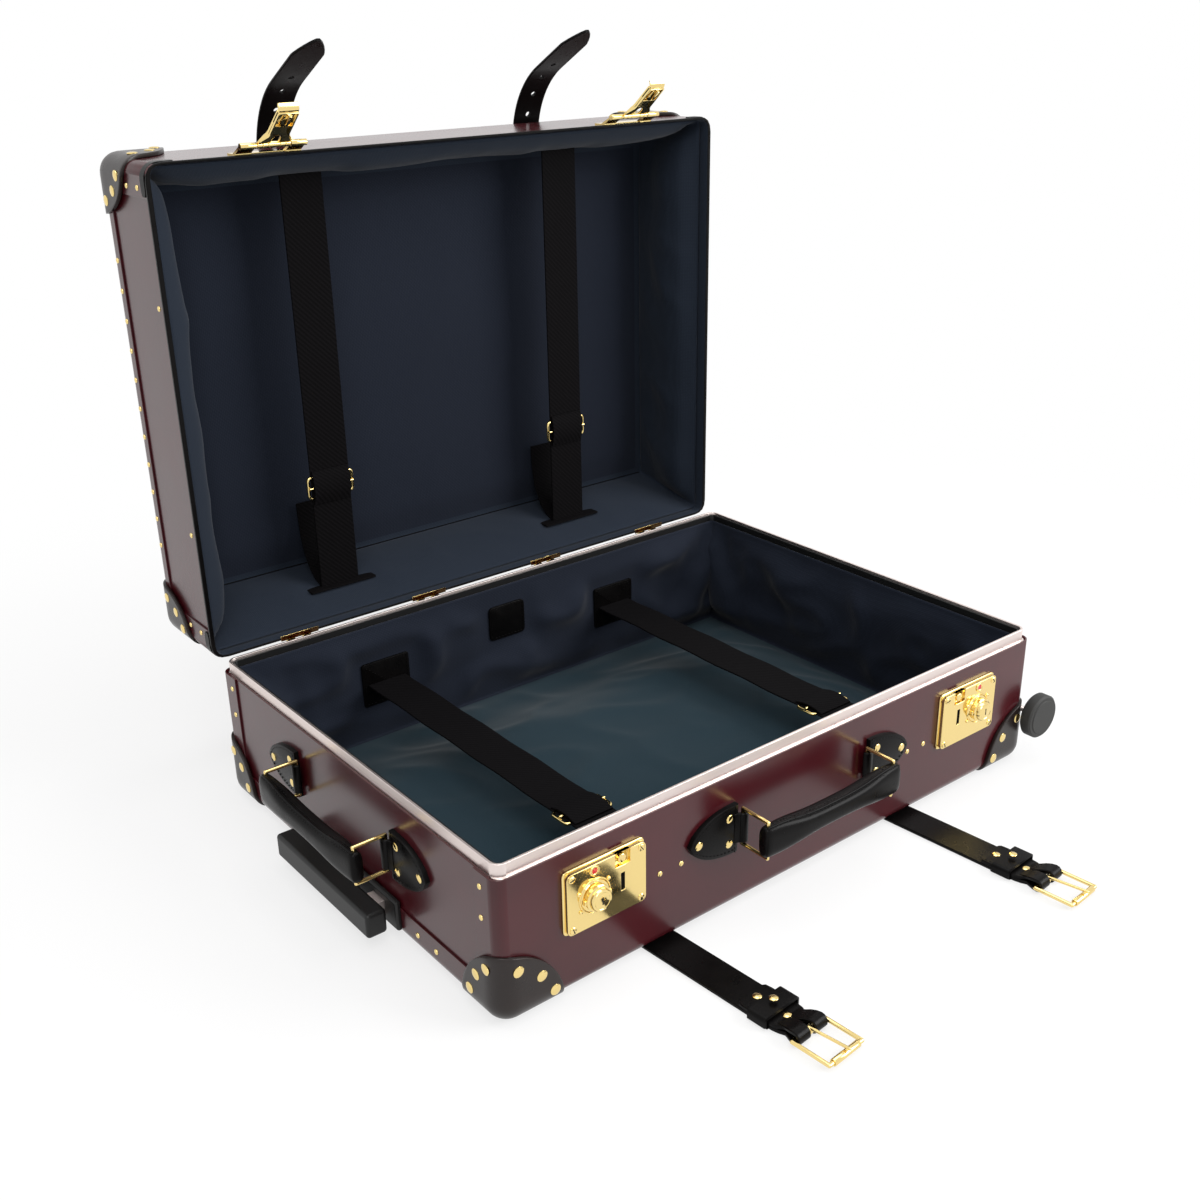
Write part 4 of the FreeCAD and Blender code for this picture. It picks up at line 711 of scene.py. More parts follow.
class SUITCASE_OT_rivets(bpy.types.Operator):
    """Domed rivet heads over the solid ones"""
    bl_idname = "suitcase.rivets"
    bl_label = "Rivets"

    def execute(self, context):
        for node, body in (("base_rivets", "base"), ("lid_rivets", "lid"), ("belt_rivets_left", "belt_left"),
                           ("belt_rivets_right", "belt_right")):
            bm = bmesh.new()
            for spot, way, radius in rivet_places(node):
                rivet_head(bm, spot, way, radius)
            piece("dome_" + node, bm, "gold", body, (node,))
        return {"FINISHED"}


CORNER_REACH, CORNER_RADIUS = (54.0, 47.0, 57.0), 16.5


def corner_patch(bm, side_x, side_y, thick):
    """Moulded leather over one corner, with rounded edges and oval outlines on its three faces."""
    fresh = []
    for flat in range(3):
        a, b = [axis for axis in range(3) if axis != flat]
        made = bmesh.ops.create_grid(bm, x_segments=14, y_segments=14, size=0.5)["verts"]
        for vert in made:
            u, v = vert.co.x + 0.5, vert.co.y + 0.5
            spot = Vector((0.0, 0.0, 0.0))
            spot[a] = CORNER_REACH[a] * u * math.sqrt(1 - v * v / 2)
            spot[b] = CORNER_REACH[b] * v * math.sqrt(1 - u * u / 2)
            vert.co = spot
        fresh += made
    bmesh.ops.remove_doubles(bm, verts=fresh, dist=0.01)
    for vert in [v for v in fresh if v.is_valid]:
        kept = Vector([max(c, CORNER_RADIUS) for c in vert.co])
        spot = kept + (vert.co - kept).normalized() * CORNER_RADIUS
        vert.co = Vector((side_x * (HALF_X + thick - spot.x), side_y * (HALF_Y + thick - spot.y), spot.z))


class SUITCASE_OT_corners(bpy.types.Operator):
    """Leather corners of the base and the lid"""
    bl_idname = "suitcase.corners"
    bl_label = "Leather corners"

    def execute(self, context):
        thick = node_box("base_corners")[1].x - HALF_X
        upside_down = LID @ shift(0, 0, LID_TOP + thick) @ Matrix.Diagonal((1, 1, -1, 1))
        for node, body, place in (("base_corners", "base", STILL), ("lid_corners", "lid", upside_down)):
            bm = bmesh.new()
            for side_x in (-1, 1):
                for side_y in (-1, 1):
                    corner_patch(bm, side_x, side_y, thick)
            bmesh.ops.recalc_face_normals(bm, faces=bm.faces)
            made = piece("leather_" + node, bm, "corner", body, (node,), place)
            modify(made, "SOLIDIFY", thickness=(thick - 0.3) * MM, offset=-1.0)
            modify(made, "BEVEL", width=sizes().soft_edge, segments=2, angle_limit=math.radians(50))
        return {"FINISHED"}


# Linings

CELL = 7.0  # spacing of the cuts that let the cloth fold
FOLD = 2.5  # rounding where the cloth turns on to the floor
LID_TAPER = 21.0  # how far the lid's lining leans in by its floor
CREST_HALF, CREST_FOOT = 63.0, 165.0  # half widths of the top and the foot of the cloth over the sleeves
WALL_SLACK = 17.0  # the furthest that a base wall's cloth stands off
END_STRETCH = 13.0  # how much flatter the lid's right end is drawn by its floor


def cut_up(bm, axis, start, end):
    """Cut a shape across one axis at even steps."""
    spot = start + CELL
    while spot < end - 0.3 * CELL:
        bmesh.ops.bisect_plane(bm, geom=bm.verts[:] + bm.edges[:] + bm.faces[:], dist=0.001,
                               plane_co=axis * spot, plane_no=axis)
        spot += CELL


def cloth_tray(half_x, half_y, mouth, floor, taper):
    """A tray of cloth with rounded folds, cut into small cells and open at its mouth."""
    bm = bmesh.new()
    for vert in cube(bm, (2 * half_x, 2 * half_y, abs(mouth - floor)), (0, 0, (mouth + floor) / 2)):
        if abs(vert.co.z - floor) < 0.1:
            vert.co.x -= math.copysign(taper, vert.co.x)
            vert.co.y -= math.copysign(taper, vert.co.y)
    top = next(f for f in bm.faces if abs(f.calc_center_median().z - mouth) < 0.1)
    bmesh.ops.delete(bm, geom=[top], context="FACES_ONLY")
    soften(bm, [e for e in bm.edges if not e.is_boundary], FOLD, 4)
    cut_up(bm, X, -half_x, half_x)
    cut_up(bm, Y, -half_y, half_y)
    cut_up(bm, Z, min(mouth, floor), max(mouth, floor))
    return bm


def mark_floor(bm, half_x, half_y, floor):
    """Give the floor inside the fold its own finish."""
    for face in bm.faces:
        if all(abs(v.co.z - floor) < 0.5 and abs(v.co.x) < half_x and abs(v.co.y) < half_y for v in face.verts):
            face.material_index = 1


def ramp(value, low, high):
    """A smooth rise from 0 to 1."""
    share = min(1.0, max(0.0, (value - low) / (high - low)))
    return share * share * (3 - 2 * share)


def soft_noise(p, q, seed):
    """Soft noise between -1 and 1."""
    return noise.noise(Vector((p, q, seed)))


def ridge(p, q, seed):
    """Sharp-backed wrinkles that run where a noise crosses nought."""
    return (1 - min(1.0, 2.2 * abs(soft_noise(p, q, seed)))) ** 2


def clear_of(p, q, spots):
    """0 on a sewn patch and 1 well away from every patch; spots are middles and half sizes."""
    return min(ramp(max(abs(p - middle_p) - half_p, abs(q - middle_q) - half_q), 1.0, 22.0)
               for middle_p, middle_q, half_p, half_q in spots)


def draw_in(vert, on_end, inward):
    """Move a wall vertex towards the middle of the case."""
    axis = 0 if on_end else 1
    vert.co[axis] -= math.copysign(inward, vert.co[axis])


def lining_piece(bm, keys, body, half_x, half_y, tall, place):
    node = body + "_lining"
    made = piece("cloth_" + node, bm, keys[0], body, (node,), place, 180)
    made.data.materials.append(finish(keys[1]))
    modify(made, "SUBSURF", levels=1, render_levels=1)
    modify(made, "SOLIDIFY", thickness=0.7 * MM, offset=0.0)
    wide, long_side, tall = 2 * half_x * MM, 2 * half_y * MM, tall * MM


class SUITCASE_OT_base_lining(bpy.types.Operator):
    """Cloth over the base's walls and floor, raised over the two tube sleeves"""
    bl_idname = "suitcase.base_lining"
    bl_label = "Base lining"

    def execute(self, context):
        low, high = node_box("base_lining")
        sleeve = node_box("pull_sleeves")[1]
        depth = sizes().wrinkle / MM
        half_x, half_y, mouth, floor = high.x - 1.0, high.y - 1.0, high.z + 3.0, low.z + 1.4
        bm = cloth_tray(half_x, half_y, mouth, floor, 1.6)
        mark_floor(bm, half_x - 4.0, half_y - 4.0, floor)
        crest = sleeve.z + 1.8 - floor
        front_patches = [(side * STRAP_X, STRAP_Z, 26.0, 23.0) for side in (-1, 1)]
        back_patches = front_patches + [(LABEL_X, LABEL_Z, 22.0, 19.0)]
        for vert in bm.verts:
            x, y, z = vert.co
            near_x, near_y = half_x - abs(x), half_y - abs(y)
            if z > floor + 3.0 and min(near_x, near_y) < 8.0:
                # The walls hang a little slack: long slanting wrinkles, and pleats where cloth gathers at corners
                on_end = near_x < near_y
                run, to_corner = (y, near_y) if on_end else (x, near_x)
                seed = (3.0 if x > 0 else 7.0) if on_end else (11.0 if y > 0 else 15.0)
                free = ramp(mouth - z, 1.0, 30.0) * ramp(z - floor, 3.0, 22.0)
                if not on_end:
                    free *= clear_of(x, z, back_patches if y > 0 else front_patches)
                fold = ridge((run * 0.8 + z * 0.9) / 62, (z - run * 0.3) / 48, seed)
                belly = 0.5 + soft_noise(run / 85, z / 60, seed + 2)
                pleat = math.exp(-to_corner / 26) * (1 + math.sin(to_corner / 4.3 + z / 40 + seed))
                # Swags fan out from where the rim is sewn at the corners
                drop = mouth - z + 5.0
                far = math.hypot(to_corner, drop)
                fan = 7.0 * math.atan2(drop, to_corner + 2.0) + 2.2 * soft_noise(run / 90, z / 70, seed + 5)
                swag = max(0.0, math.sin(fan)) * math.exp(-far / 120) * ramp(far, 10.0, 40.0)
                slack = 1.5 * fold + 0.8 * max(0.0, belly) + 1.4 * pleat + 4.5 * swag
                draw_in(vert, on_end, min(WALL_SLACK, depth * free * slack))
            elif z < floor + 6.0:
                level = 1 - ramp(z - floor, 0.5, 6.0)
                swell = (1 - ramp(abs(y), CREST_HALF, CREST_FOOT)) * (1 - ramp(x, sleeve.x + 4, sleeve.x + 98))
                wave = soft_noise(x / 90, y / 75, 21.0) + 0.9 * ridge(x / 80, y / 60 + x / 150, 27.0)
                stuffed = ramp(min(near_x, near_y), 2.0, 26.0)
                vert.co.z += level * (crest * swell + (0.4 + 3.0 * max(0.0, 0.4 + wave)) * stuffed)
        lining_piece(bm, ("cloth", "floor_cloth"), "base", half_x, half_y, mouth - floor, STILL)
        return {"FINISHED"}


class SUITCASE_OT_lid_lining(bpy.types.Operator):
    """Cloth in the lid, its walls hanging slack so that they belly inwards"""
    bl_idname = "suitcase.lid_lining"
    bl_label = "Lid lining"

    def execute(self, context):
        depth = sizes().wrinkle / MM
        low, high = node_box("lid_lining")
        heights = [(LID.inverted() @ corner).z for corner in (low, high)]
        mouth, floor = min(heights), max(heights) - 1.2
        half_x, half_y = high.x - 1.2, (high.z - low.z) / 2 - 1.2
        strap_ends = [(side * STRAP_X, 0.0, 24.0, 1.0) for side in (-1, 1)]
        bm = cloth_tray(half_x, half_y, mouth, floor, LID_TAPER)
        mark_floor(bm, half_x - LID_TAPER - 3.0, half_y - LID_TAPER - 3.0, floor)
        for vert in bm.verts:
            x, y, z = vert.co
            share = (z - mouth) / (floor - mouth)
            near_x, near_y = half_x - abs(x) - LID_TAPER * share, half_y - abs(y) - LID_TAPER * share
            if share < 0.97 and min(near_x, near_y) < 6.0:
                # Sewn at the rim and the fold, the cloth droops most along the upper wall of the open lid
                on_end = near_x < near_y
                run = y if on_end else x
                to_corner = max(near_x, near_y)
                loose = 1.3 if on_end or y < 0 else 1.0
                seed = (43.0 if x > 0 else 47.0) if on_end else (51.0 if y > 0 else 55.0)
                drift = soft_noise(run / 120, 0.6 * share, seed)
                belly = math.sin(math.pi * share) ** 0.7 * (1 + 0.4 * drift)
                fold = ridge(run / 75, share * 1.3 + run / 210, seed + 1) * math.sin(math.pi * share)
                # Cut too wide, it puffs out beside the rim and falls back towards the floor
                wide_cut = (13.0 if x < 0 else 8.0) if on_end else (6.5 if y < 0 else 0.0)
                along = share * abs(floor - mouth)
                puff = wide_cut * (1 + 0.35 * drift) * ramp(along, 0.5, 14.0) * (1 - 0.8 * ramp(along, 24.0, 62.0))
                pull = 1.0 if on_end else clear_of(x, 0.0, strap_ends)
                inward = 0.8 * depth * loose * ramp(to_corner, 4.0, 50.0) * (0.5 + 0.5 * pull)
                inward *= 0.9 * belly + (0.8 if on_end else 0.2) * fold
                draw_in(vert, on_end, inward + puff * ramp(to_corner, 0.5, 14.0))
            elif share > 0.9:
                wave = soft_noise(x / 130, y / 100, 61.0) + 0.4 * ridge(x / 120, y / 150, 67.0)
                vert.co.z -= (4.0 + 2.6 * wave) * ramp(min(near_x, near_y), 0.5, 34.0)
            vert.co.x += END_STRETCH * share * ramp(x, 150.0, half_x - 30)
        # The walls take the lighter wall cloth as painted light; the floor takes the plain lining cloth
        lining_piece(bm, ("wall_cloth_painted_light", "cloth"), "lid", half_x, half_y, abs(mouth - floor), LID)
        # A thin black cord along the lower fold between the lid's wall and floor: painted shade of the crease
        bm = bmesh.new()
        foot = [Vector((a, half_y - 22.0, floor - 1.0)) for a in (24.0 - half_x, half_x - 11.0)]
        strap(bm, foot[:1] + between(*foot, 12), Z, 1.1, 1.1, 0.35)
        piece("crease_shade_lid_lining", bm, "webbing", "lid", (), LID)
        return {"FINISHED"}


def ring_band(bm, outside, inside, low, high, soft):
    """An upright band round the case between two outlines (half sizes and corner radius), its edges eased."""
    outer, inner = [[Vector((a, b, 0.0)) for a, b in rectangle(*side)] for side in (outside, inside)]
    rings = []
    for here, there in zip(outer + outer[:1], inner + inner[:1]):
        ease = (there - here).normalized() * min(soft, (there - here).length / 3)
        rings.append([here + Z * (low + soft), here + Z * (high - soft), here + ease + Z * high,
                      there - ease + Z * high, there + Z * (high - soft), there + Z * (low + soft),
                      there - ease + Z * low, here + ease + Z * low])
    sweep(bm, rings)


LID_WALL_X, LID_WALL_Y = HALF_X - 2.4, HALF_Y - 0.9  # the inner face of the lid's wall
BAND_BEND = 10.0  # radius of its corners
BINDING, BINDING_IN = 3.0, 0.5  # the binding's height, and how far it reaches inside
INNER_BAND, INNER_BAND_IN = (0.6, 20.0), 0.65  # the inner band's two edges, and its thickness
CAP_BEND = 12.0  # radius of a corner cap


class SUITCASE_OT_edges(bpy.types.Operator):
    """Bound edge of the lid with its corner caps, the band inside it and the hinge strips on it"""
    bl_idname = "suitcase.edges"
    bl_label = "Edges"

    def execute(self, context):
        low, high = node_box("lid_binding")
        bm = bmesh.new()
        ring_band(bm, (high.x, (high.z - low.z) / 2, 14.0),
                  (LID_WALL_X - BINDING_IN, LID_WALL_Y - BINDING_IN, BAND_BEND), LID_EDGE, LID_EDGE + BINDING, 0.6)
        piece("leather_lid_binding", bm, "edging", "lid", ("lid_binding",), LID)
        wall = node_box("lid_edge_caps")[1].x - HALF_X
        bm = bmesh.new()
        for side_x in (-1, 1):
            for side_y in (-1, 1):
                reach = Vector((side_x * (HALF_X + wall / 2), side_y * (HALF_Y + wall / 2), LID_EDGE + 7.0))
                run = [reach - X * side_x * (2 * CAP_BEND - 2 * step) for step in range(7)]
                run += [reach - X * side_x * CAP_BEND * (1 - math.sin(a)) - Y * side_y * CAP_BEND * (1 - math.cos(a))
                        for a in (0.26, 0.52, 0.785, 1.05, 1.31)]
                run += [reach - Y * side_y * (CAP_BEND + 2 * step) for step in range(7)]
                strap(bm, run, Z, [4.6, 6.8, 7.7] + [8.0] * (len(run) - 6) + [7.7, 6.8, 4.6], wall, 0.25)
        piece("leather_edge_caps", bm, "edging", "lid", ("lid_edge_caps",), LID)
        bm = bmesh.new()
        ring_band(bm, (LID_WALL_X, LID_WALL_Y, BAND_BEND),
                  (LID_WALL_X - INNER_BAND_IN, LID_WALL_Y - INNER_BAND_IN, BAND_BEND),
                  LID_EDGE + INNER_BAND[0], LID_EDGE + INNER_BAND[1], 0.1)
        # The inner band takes the same lighter wall cloth, painted light
        piece("inner_band_lid", bm, "wall_cloth_painted_light", "lid", (), LID)
        bm = bmesh.new()
        for middle in HINGES_X:
            block(bm, (middle - 18, 195.6, LID_EDGE - 0.25), (middle + 18, 200.2, LID_EDGE + 0.05), 0.1, 1)
            for step in (-12, 0, 12):
                lathe(bm, ((0.0, -0.05), (1.3, -0.05), (1.25, 0.03), (0.0, 0.06)),
                      facing(Vector((middle + step, 197.9, LID_EDGE - 0.22)), -Z, Y), 10)
        piece("hinge_strips", bm, "gold", "lid", (), LID)
        return {"FINISHED"}


BELT_THICK = 2.8
BELT_SEAMS = (SEAM - BELT_WIDE / 2, BELT_WIDE / 2 - SEAM)
BAR_REACH, BAR_UP = 127.0, 3.15  # the buckle's bar, along the belt and above it
UNDER = 1.9  # height of the belt's middle under the case
FOLD_OFF, FOLD_OUT, FOLD_UP, BELT_SKEW = 6.5, 3.8, 1.6, 4.3  # where a belt folds, and its slant in degrees
LOBE_START = ((116, 6.2, 0.0), (120, 7.1, 0.0), (124, 8.2, 0.0))
LOBE_END = ((124, 8.2, 7.3), (120.5, 7.2, 6.5), (117, 6.0, 5.2), (113.5, 5.6, 3.8), (110, 5.6, 2.95))
LOBE_WIDTHS = [9.8, 10.6, 11.6] + [12.0] * 9 + [12.2, 12.4, 12.2, 11.6, 11.4]


def belt_frame(side):
    """The frame of a free belt: its origin on the fold line, its local X along the belt away from the case."""
    low, high = node_box("belt_runs")
    middle = side * (high.x - low.x - BELT_WIDE) / 2
    return shift(middle - FOLD_OFF, -HALF_Y - FOLD_OUT, FOLD_UP) @ turned(BELT_SKEW, "Z") @ turned(-90, "Z")


def belt(bm, side, place):
    """A belt from under the case to its end, which is doubled back over the buckle's bar."""
    under = place.inverted()
    root, start = side * BELT_X, 10.0
    middle = place @ Vector((-54.0, 0, 0))
    path = [under @ Vector((root, a, UNDER)) for a in (170.0, 90.0, start)]
    for step in range(1, 7):
        path.append(under @ Vector((root + (middle.x - root) * ramp(step, 0, 6),
                                    start + (middle.y - start) * step / 6, UNDER)))
    path += [Vector((a, 0, 0.0)) for a in (-40.0, -28, -20, -16, -12, -8, -4, 0, 4, 8, 12, 16, 24, 40, 60, 80, 100, 108,
                                           113, 117, 120)]
    widths = [BELT_WIDE] * (len(path) - 4) + [BELT_WIDE - less for less in (0.5, 2.5, 5.5, 7)]
    strap(bm, path, Y, widths, BELT_THICK)
    # The end is folded round the buckle's bar in two lobes, with a slit for the prong
    for off in (-1, 1):
        loop = [Vector((a, off * b, c)) for a, b, c in LOBE_START]
        loop += arc(Vector((BAR_REACH, off * 8.6, BAR_UP)), X, Z, BAR_UP, -90, 90, 8)
        for spot in loop:
            spot.z = max(spot.z, BAR_UP + (spot.z - BAR_UP) * 1.4)
        loop += [Vector((a, off * b, c)) for a, b, c in LOBE_END]
        strap(bm, loop, Y, LOBE_WIDTHS, BELT_THICK)
    back = [Vector((a, 0, b)) for a, b in ((117, 4.4), (114, 3.5), (111, 2.9), (106, 2.8), (92, 2.8), (84, 2.8),
                                           (79, 2.75), (77.5, 2.7))]
    strap(bm, back, Y, [BELT_WIDE - less for less in (7, 5, 1.5, 0, 0, 0, 1, 5)], BELT_THICK)
    for off in BELT_SEAMS:
        stitches(bm, ((80, off), (109, off)), shift(0, 0, 1.5 * BELT_THICK))


def keeper(bm):
    """A loop of leather over the doubled belt, thin under it."""
    low, high = -BELT_WIDE / 2 - 1.6, BELT_WIDE / 2 + 1.6
    loop = rounded_corners(((low, -1.4), (high, -1.4), (high, 6.0), (low, 6.0)), 1.8)
    path = [Vector((97.0, a, b)) for a, b in loop]
    rings = []
    for index in range(len(path) + 1):
        here = path[index % len(path)]
        along = (path[(index + 1) % len(path)] - path[index - 1]).normalized()
        out = along.cross(X) * (1.7 if here.z > 0 else 0.1)
        rings.append([here - X * 8, here + X * 8, here + out + X * 7.5, here + out - X * 7.5])
    sweep(bm, rings)


class SUITCASE_OT_belts(bpy.types.Operator):
    """Leather belts that run under the case and out in front, with folded ends and keepers"""
    bl_idname = "suitcase.belts"
    bl_label = "Belts"

    def execute(self, context):
        for side, word in SIDES:
            place = belt_frame(side)
            bm = bmesh.new()
            belt(bm, side, place)
            made = piece("leather_belt_" + word, bm, "leather", None, (), place)
            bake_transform(made)
            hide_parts("base_belt_" + word, *(["belt_runs"] if side < 0 else []))
            bm = bmesh.new()
            keeper(bm)
            piece("leather_keeper_" + word, bm, "leather", "belt_" + word, ("belt_keeper_" + word,), place)
        return {"FINISHED"}


TONGUE_THICK = 2.4
BRIM = 40.0  # radius over the lid's front edge
HOLES_BACK = (58.0, 79.0, 100.0, 121.0)  # from a tongue's tip
HOLE_RADIUS = 2.5
TONGUE_STEPS = (8, 16, 26, 35, 42, 44.5, 50, 56, 61.5, 65)


def step_back(path, far):
    """A place some way back from a path's end, and the way back there."""
    index = len(path) - 1
    while far > (path[index] - path[index - 1]).length:
        far -= (path[index] - path[index - 1]).length
        index -= 1
    way = (path[index - 1] - path[index]).normalized()
    return path[index] + way * far, way


class SUITCASE_OT_lid_belts(bpy.types.Operator):
    """Belts sewn on the lid with curved pointed tongues"""
    bl_idname = "suitcase.lid_belts"
    bl_label = "Lid belts"

    def execute(self, context):
        rise, front = LID_TOP + 0.1 + TONGUE_THICK / 2, -HALF_Y + 9.0
        heel, turn, bend = math.radians(75), math.radians(62), 76.0
        along = Vector((0, -math.cos(turn), -math.sin(turn)))
        straps, threads, holes = bmesh.new(), bmesh.new(), bmesh.new()
        for side in (-1, 1):
            middle = side * BELT_X
            path = [Vector((middle, 150.0, rise))]
            path += between(path[0], Vector((middle, front, rise)), 12)
            path += arc(Vector((middle, front, rise - BRIM)), -Y, Z, BRIM, 90, 75, 4)[1:]
            centre = path[-1] + (Y * math.cos(heel) - Z * math.sin(heel)) * bend
            path += arc(centre, -Y, Z, bend, 75, 28, 12)[1:]
            start = path[-1]
            path += [start + along * a for a in TONGUE_STEPS]
            widths = [BELT_WIDE] * (len(path) - 5) + [BELT_WIDE - less for less in (1.2, 5.5, 11.5, 18.5, 25)]
            strap(straps, path, X, widths, TONGUE_THICK)
            for far in HOLES_BACK:
                spot, way = step_back(path, far)
                bmesh.ops.create_cone(holes, segments=16, radius1=HOLE_RADIUS, radius2=HOLE_RADIUS, depth=8.0,
                                      cap_ends=True, matrix=facing(spot, way.cross(X), X))
            face = facing(Vector((middle, 0, rise + TONGUE_THICK / 2)), Z, Y)
            for off in BELT_SEAMS:
                stitches(threads, ((off, 148.0), (off, front + 4)), face)
        belts = piece("leather_lid_belts", straps, "leather", "lid", ("lid_belts",), LID)
        bmesh.ops.transform(holes, matrix=Matrix.Scale(MM, 4) @ LID, verts=holes.verts)
        drill(belts, holes)
        piece("thread_lid_belts", threads, "leather", "lid", (), LID)
        return {"FINISHED"}


# Half a grip: along it, its height and its depth
GRIP_HALF = ((0.0, 15.8, 15.5), (18.0, 16.2, 15.6), (30.0, 18.0, 16.0), (42.0, 21.6, 15.2), (53.0, 24.6, 13.2),
             (63.0, 25.0, 11.4), (70.4, 24.4, 10.2), (71.5, 22.6, 8.0))
GRIP_STEPS = [(-a, b, c) for a, b, c in reversed(GRIP_HALF[1:])] + list(GRIP_HALF)
HANDLE_Z = 73.0
ANCHOR_X, RING_X = 70.5, 66.5  # from the middle to a plate's straight edge and to a ring's bar
# This turn carries a front handle's pieces round to the left end panel
SIDE_PLACE = shift(node_box("base_end_panels")[0].x + HALF_Y, 0, 0) @ turned(-90, "Z")


def grip(bm, middle):
    """A stuffed cover with squared-off rings, closed by a raised seam along its upper edge."""
    rings = []
    for along, tall, deep in GRIP_STEPS:
        ring = []
        for step in range(20):
            angle = math.tau * step / 20
            a, b = math.cos(angle), math.sin(angle)
            swell = (a ** 4 + b ** 4) ** -0.25
            ring.append(middle + Vector((along, a * swell * deep / 2, b * swell * tall / 2)))
        rings.append(ring)
    sweep(bm, rings)
    seam = [middle + Vector((along, -deep * 0.18, tall / 2 - 0.2)) for along, tall, deep in GRIP_STEPS[1:-1]]
    strap(bm, seam, Y, 2.4, 1.8)
    for off in (-2.4, 2.4):
        for before, after in zip(seam, seam[1:]):
            stitches(bm, ((0.0, 0.0), ((after - before).length, 0.0)), facing(before + Vector((0, off, 0.15)), Z, Y))


def anchor(bm, side, turn):
    """A stitched oval plate with the loop of leather that holds a ring."""
    upper = [(46 * s / 14, 20 * (1 - (s / 14) ** 2.4) ** 0.65) for s in range(15)]
    outline = [(a, -b) for a, b in upper] + upper[-2::-1]
    if side < 0:
        outline = [(-a, b) for a, b in outline][::-1]
    patch(bm, outline, 4.0, sizes().soft_edge / MM, turn @ facing(Vector((side * ANCHOR_X, -HALF_Y, HANDLE_Z)), -Y))
    loop = [Vector((side * a, -HALF_Y - b, HANDLE_Z)) for a, b in ((74.0, 3.2), (71.0, 4.0))]
    loop += arc(Vector((side * RING_X, -HALF_Y - 4.5, HANDLE_Z)), side * X, -Y, 3.0, 8, 180, 10)
    strap(bm, loop, Z, 25.0, 2.4, 0.7, turn)


class SUITCASE_OT_handles(bpy.types.Operator):
    """Stuffed leather grips and the stitched plates that hold their rings"""
    bl_idname = "suitcase.handles"
    bl_label = "Handles"

    def execute(self, context):
        low, high = node_box("front_grip")
        middle = Vector((0, (low.y + high.y) / 2, (low.z + high.z) / 2))
        anchors = bmesh.new()
        for name, turn in (("front_grip", STILL), ("side_grip", SIDE_PLACE)):
            bm = bmesh.new()
            grip(bm, middle)
            made = piece("leather_" + name, bm, "leather", name, (name,), turn, 60)
            modify(made, "SUBSURF", levels=1, render_levels=1)
            for side in (-1, 1):
                anchor(anchors, side, turn)
        piece("leather_handle_anchors", anchors, "leather", "base", ("handle_anchors",))
        return {"FINISHED"}


# The loose end of a lid strap: behind the strap, and height
TAIL = ((1.4, 136.0), (6.0, 137.5), (13.0, 141.0), (19.5, 147.0), (25.0, 155.5), (29.5, 166.0), (32.0, 178.0),
        (33.4, 190.0), (34.0, 206.0))
# The webbing's bend over a slider: along it, and height
OVER = ((-15.0, 1.4), (-11.5, 2.3), (-8.5, 3.3), (-4.0, 3.9), (0.0, 4.1), (4.0, 3.9), (8.5, 3.3), (11.5, 2.3),
        (15.0, 1.4))


def slider(name, out, up):
    """A wire slider with its pin, and the webbing that bends over it."""
    low, high = node_box(name)
    place = facing((low + high) / 2, out, up)
    half = (high.x - low.x) / 2 - 1.5
    bm = bmesh.new()
    wire(bm, rectangle(half, 9.3, 3.0, 5), 1.5, place)
    lathe(bm, ((0.0, -half), (1.2, -half), (1.2, half), (0.0, half)), place @ shift(0, 0, 2.2) @ turned(90, "Y"), 12)
    piece("wire_" + name, bm, "gold", name, (name,))
    bm = bmesh.new()
    strap(bm, [Vector((0, a, b)) for a, b in OVER], X, STRAP_WIDE - 2, 1.5, 0.4, place)
    piece("webbing_" + name, bm, "webbing", name)


def base_straps():
    """Webbing across the base between its leather patches, and the plain patch on the back wall."""
    low, high = node_box("base_webbing")
    level, reach = (low.z + high.z) / 2, high.y
    wall = node_box("lining_patches")[1].y + 0.4
    straps, patches = bmesh.new(), bmesh.new()
    for side in (-1, 1):
        path = [Vector((side * STRAP_X, -reach + 2 * reach * s / 24, level + 0.5 * math.sin(s * 1.3)))
                for s in range(25)]
        strap(straps, path, X, STRAP_WIDE, 1.6, 0.4)
        for end in (-1, 1):
            face = patch(patches, rectangle(24.0, 21.0, 2.5), 2.0, 0.5,
                         facing(Vector((side * STRAP_X, end * wall, level)), -end * Y))
            for slant in (-1, 1):
                stitches(patches, ((21.0 * slant, -18.0), (-21.0 * slant, 18.0)), face)
    patch(patches, rectangle(20.0, 17.0, 5.0), 1.9, 0.6, facing(Vector((LABEL_X, wall, LABEL_Z)), -Y), 2.4)
    piece("webbing_base_straps", straps, "webbing", "base", ("base_webbing",))
    piece("leather_lining_patches", patches, "leather", "base", ("lining_patches",))


def lid_straps():
    """Webbing down the lid with its loose tails and the tapes over its ends."""
    low, high = node_box("lid_webbing")
    depth = (low.y + high.y) / 2
    straps, ends = bmesh.new(), bmesh.new()
    for side in (-1, 1):
        path = [Vector((side * STRAP_X, depth, low.z + (high.z - low.z) * s / 24)) for s in range(25)]
        strap(straps, path, X, STRAP_WIDE, 1.6, 0.4)
        strap(straps, [Vector((side * STRAP_X, depth + a, b)) for a, b in TAIL], X, STRAP_WIDE, 1.5, 0.4)
        for end, height in ((1, low.z + 1.0), (-1, high.z - 1.0)):
            plate(ends, rectangle(33.0, 9.0, 2.0), 1.2, 0.3,
                  facing(Vector((side * STRAP_X, depth, height)), end * Z, Y))
    piece("webbing_lid_straps", straps, "webbing", "lid", ("lid_webbing",))
    piece("tape_lid_strap_ends", ends, "webbing", "lid")


class SUITCASE_OT_straps(bpy.types.Operator):
    """Webbing in the base and the lid, its leather patches, loose tails and sliders"""
    bl_idname = "suitcase.straps"
    bl_label = "Inner straps"

    def execute(self, context):
        base_straps()
        lid_straps()
        for where, out, up in (("base", Z, Y), ("lid", -Y, Z)):
            for word in ("left", "right"):
                slider(where + "_slider_" + word, out, up)
        return {"FINISHED"}


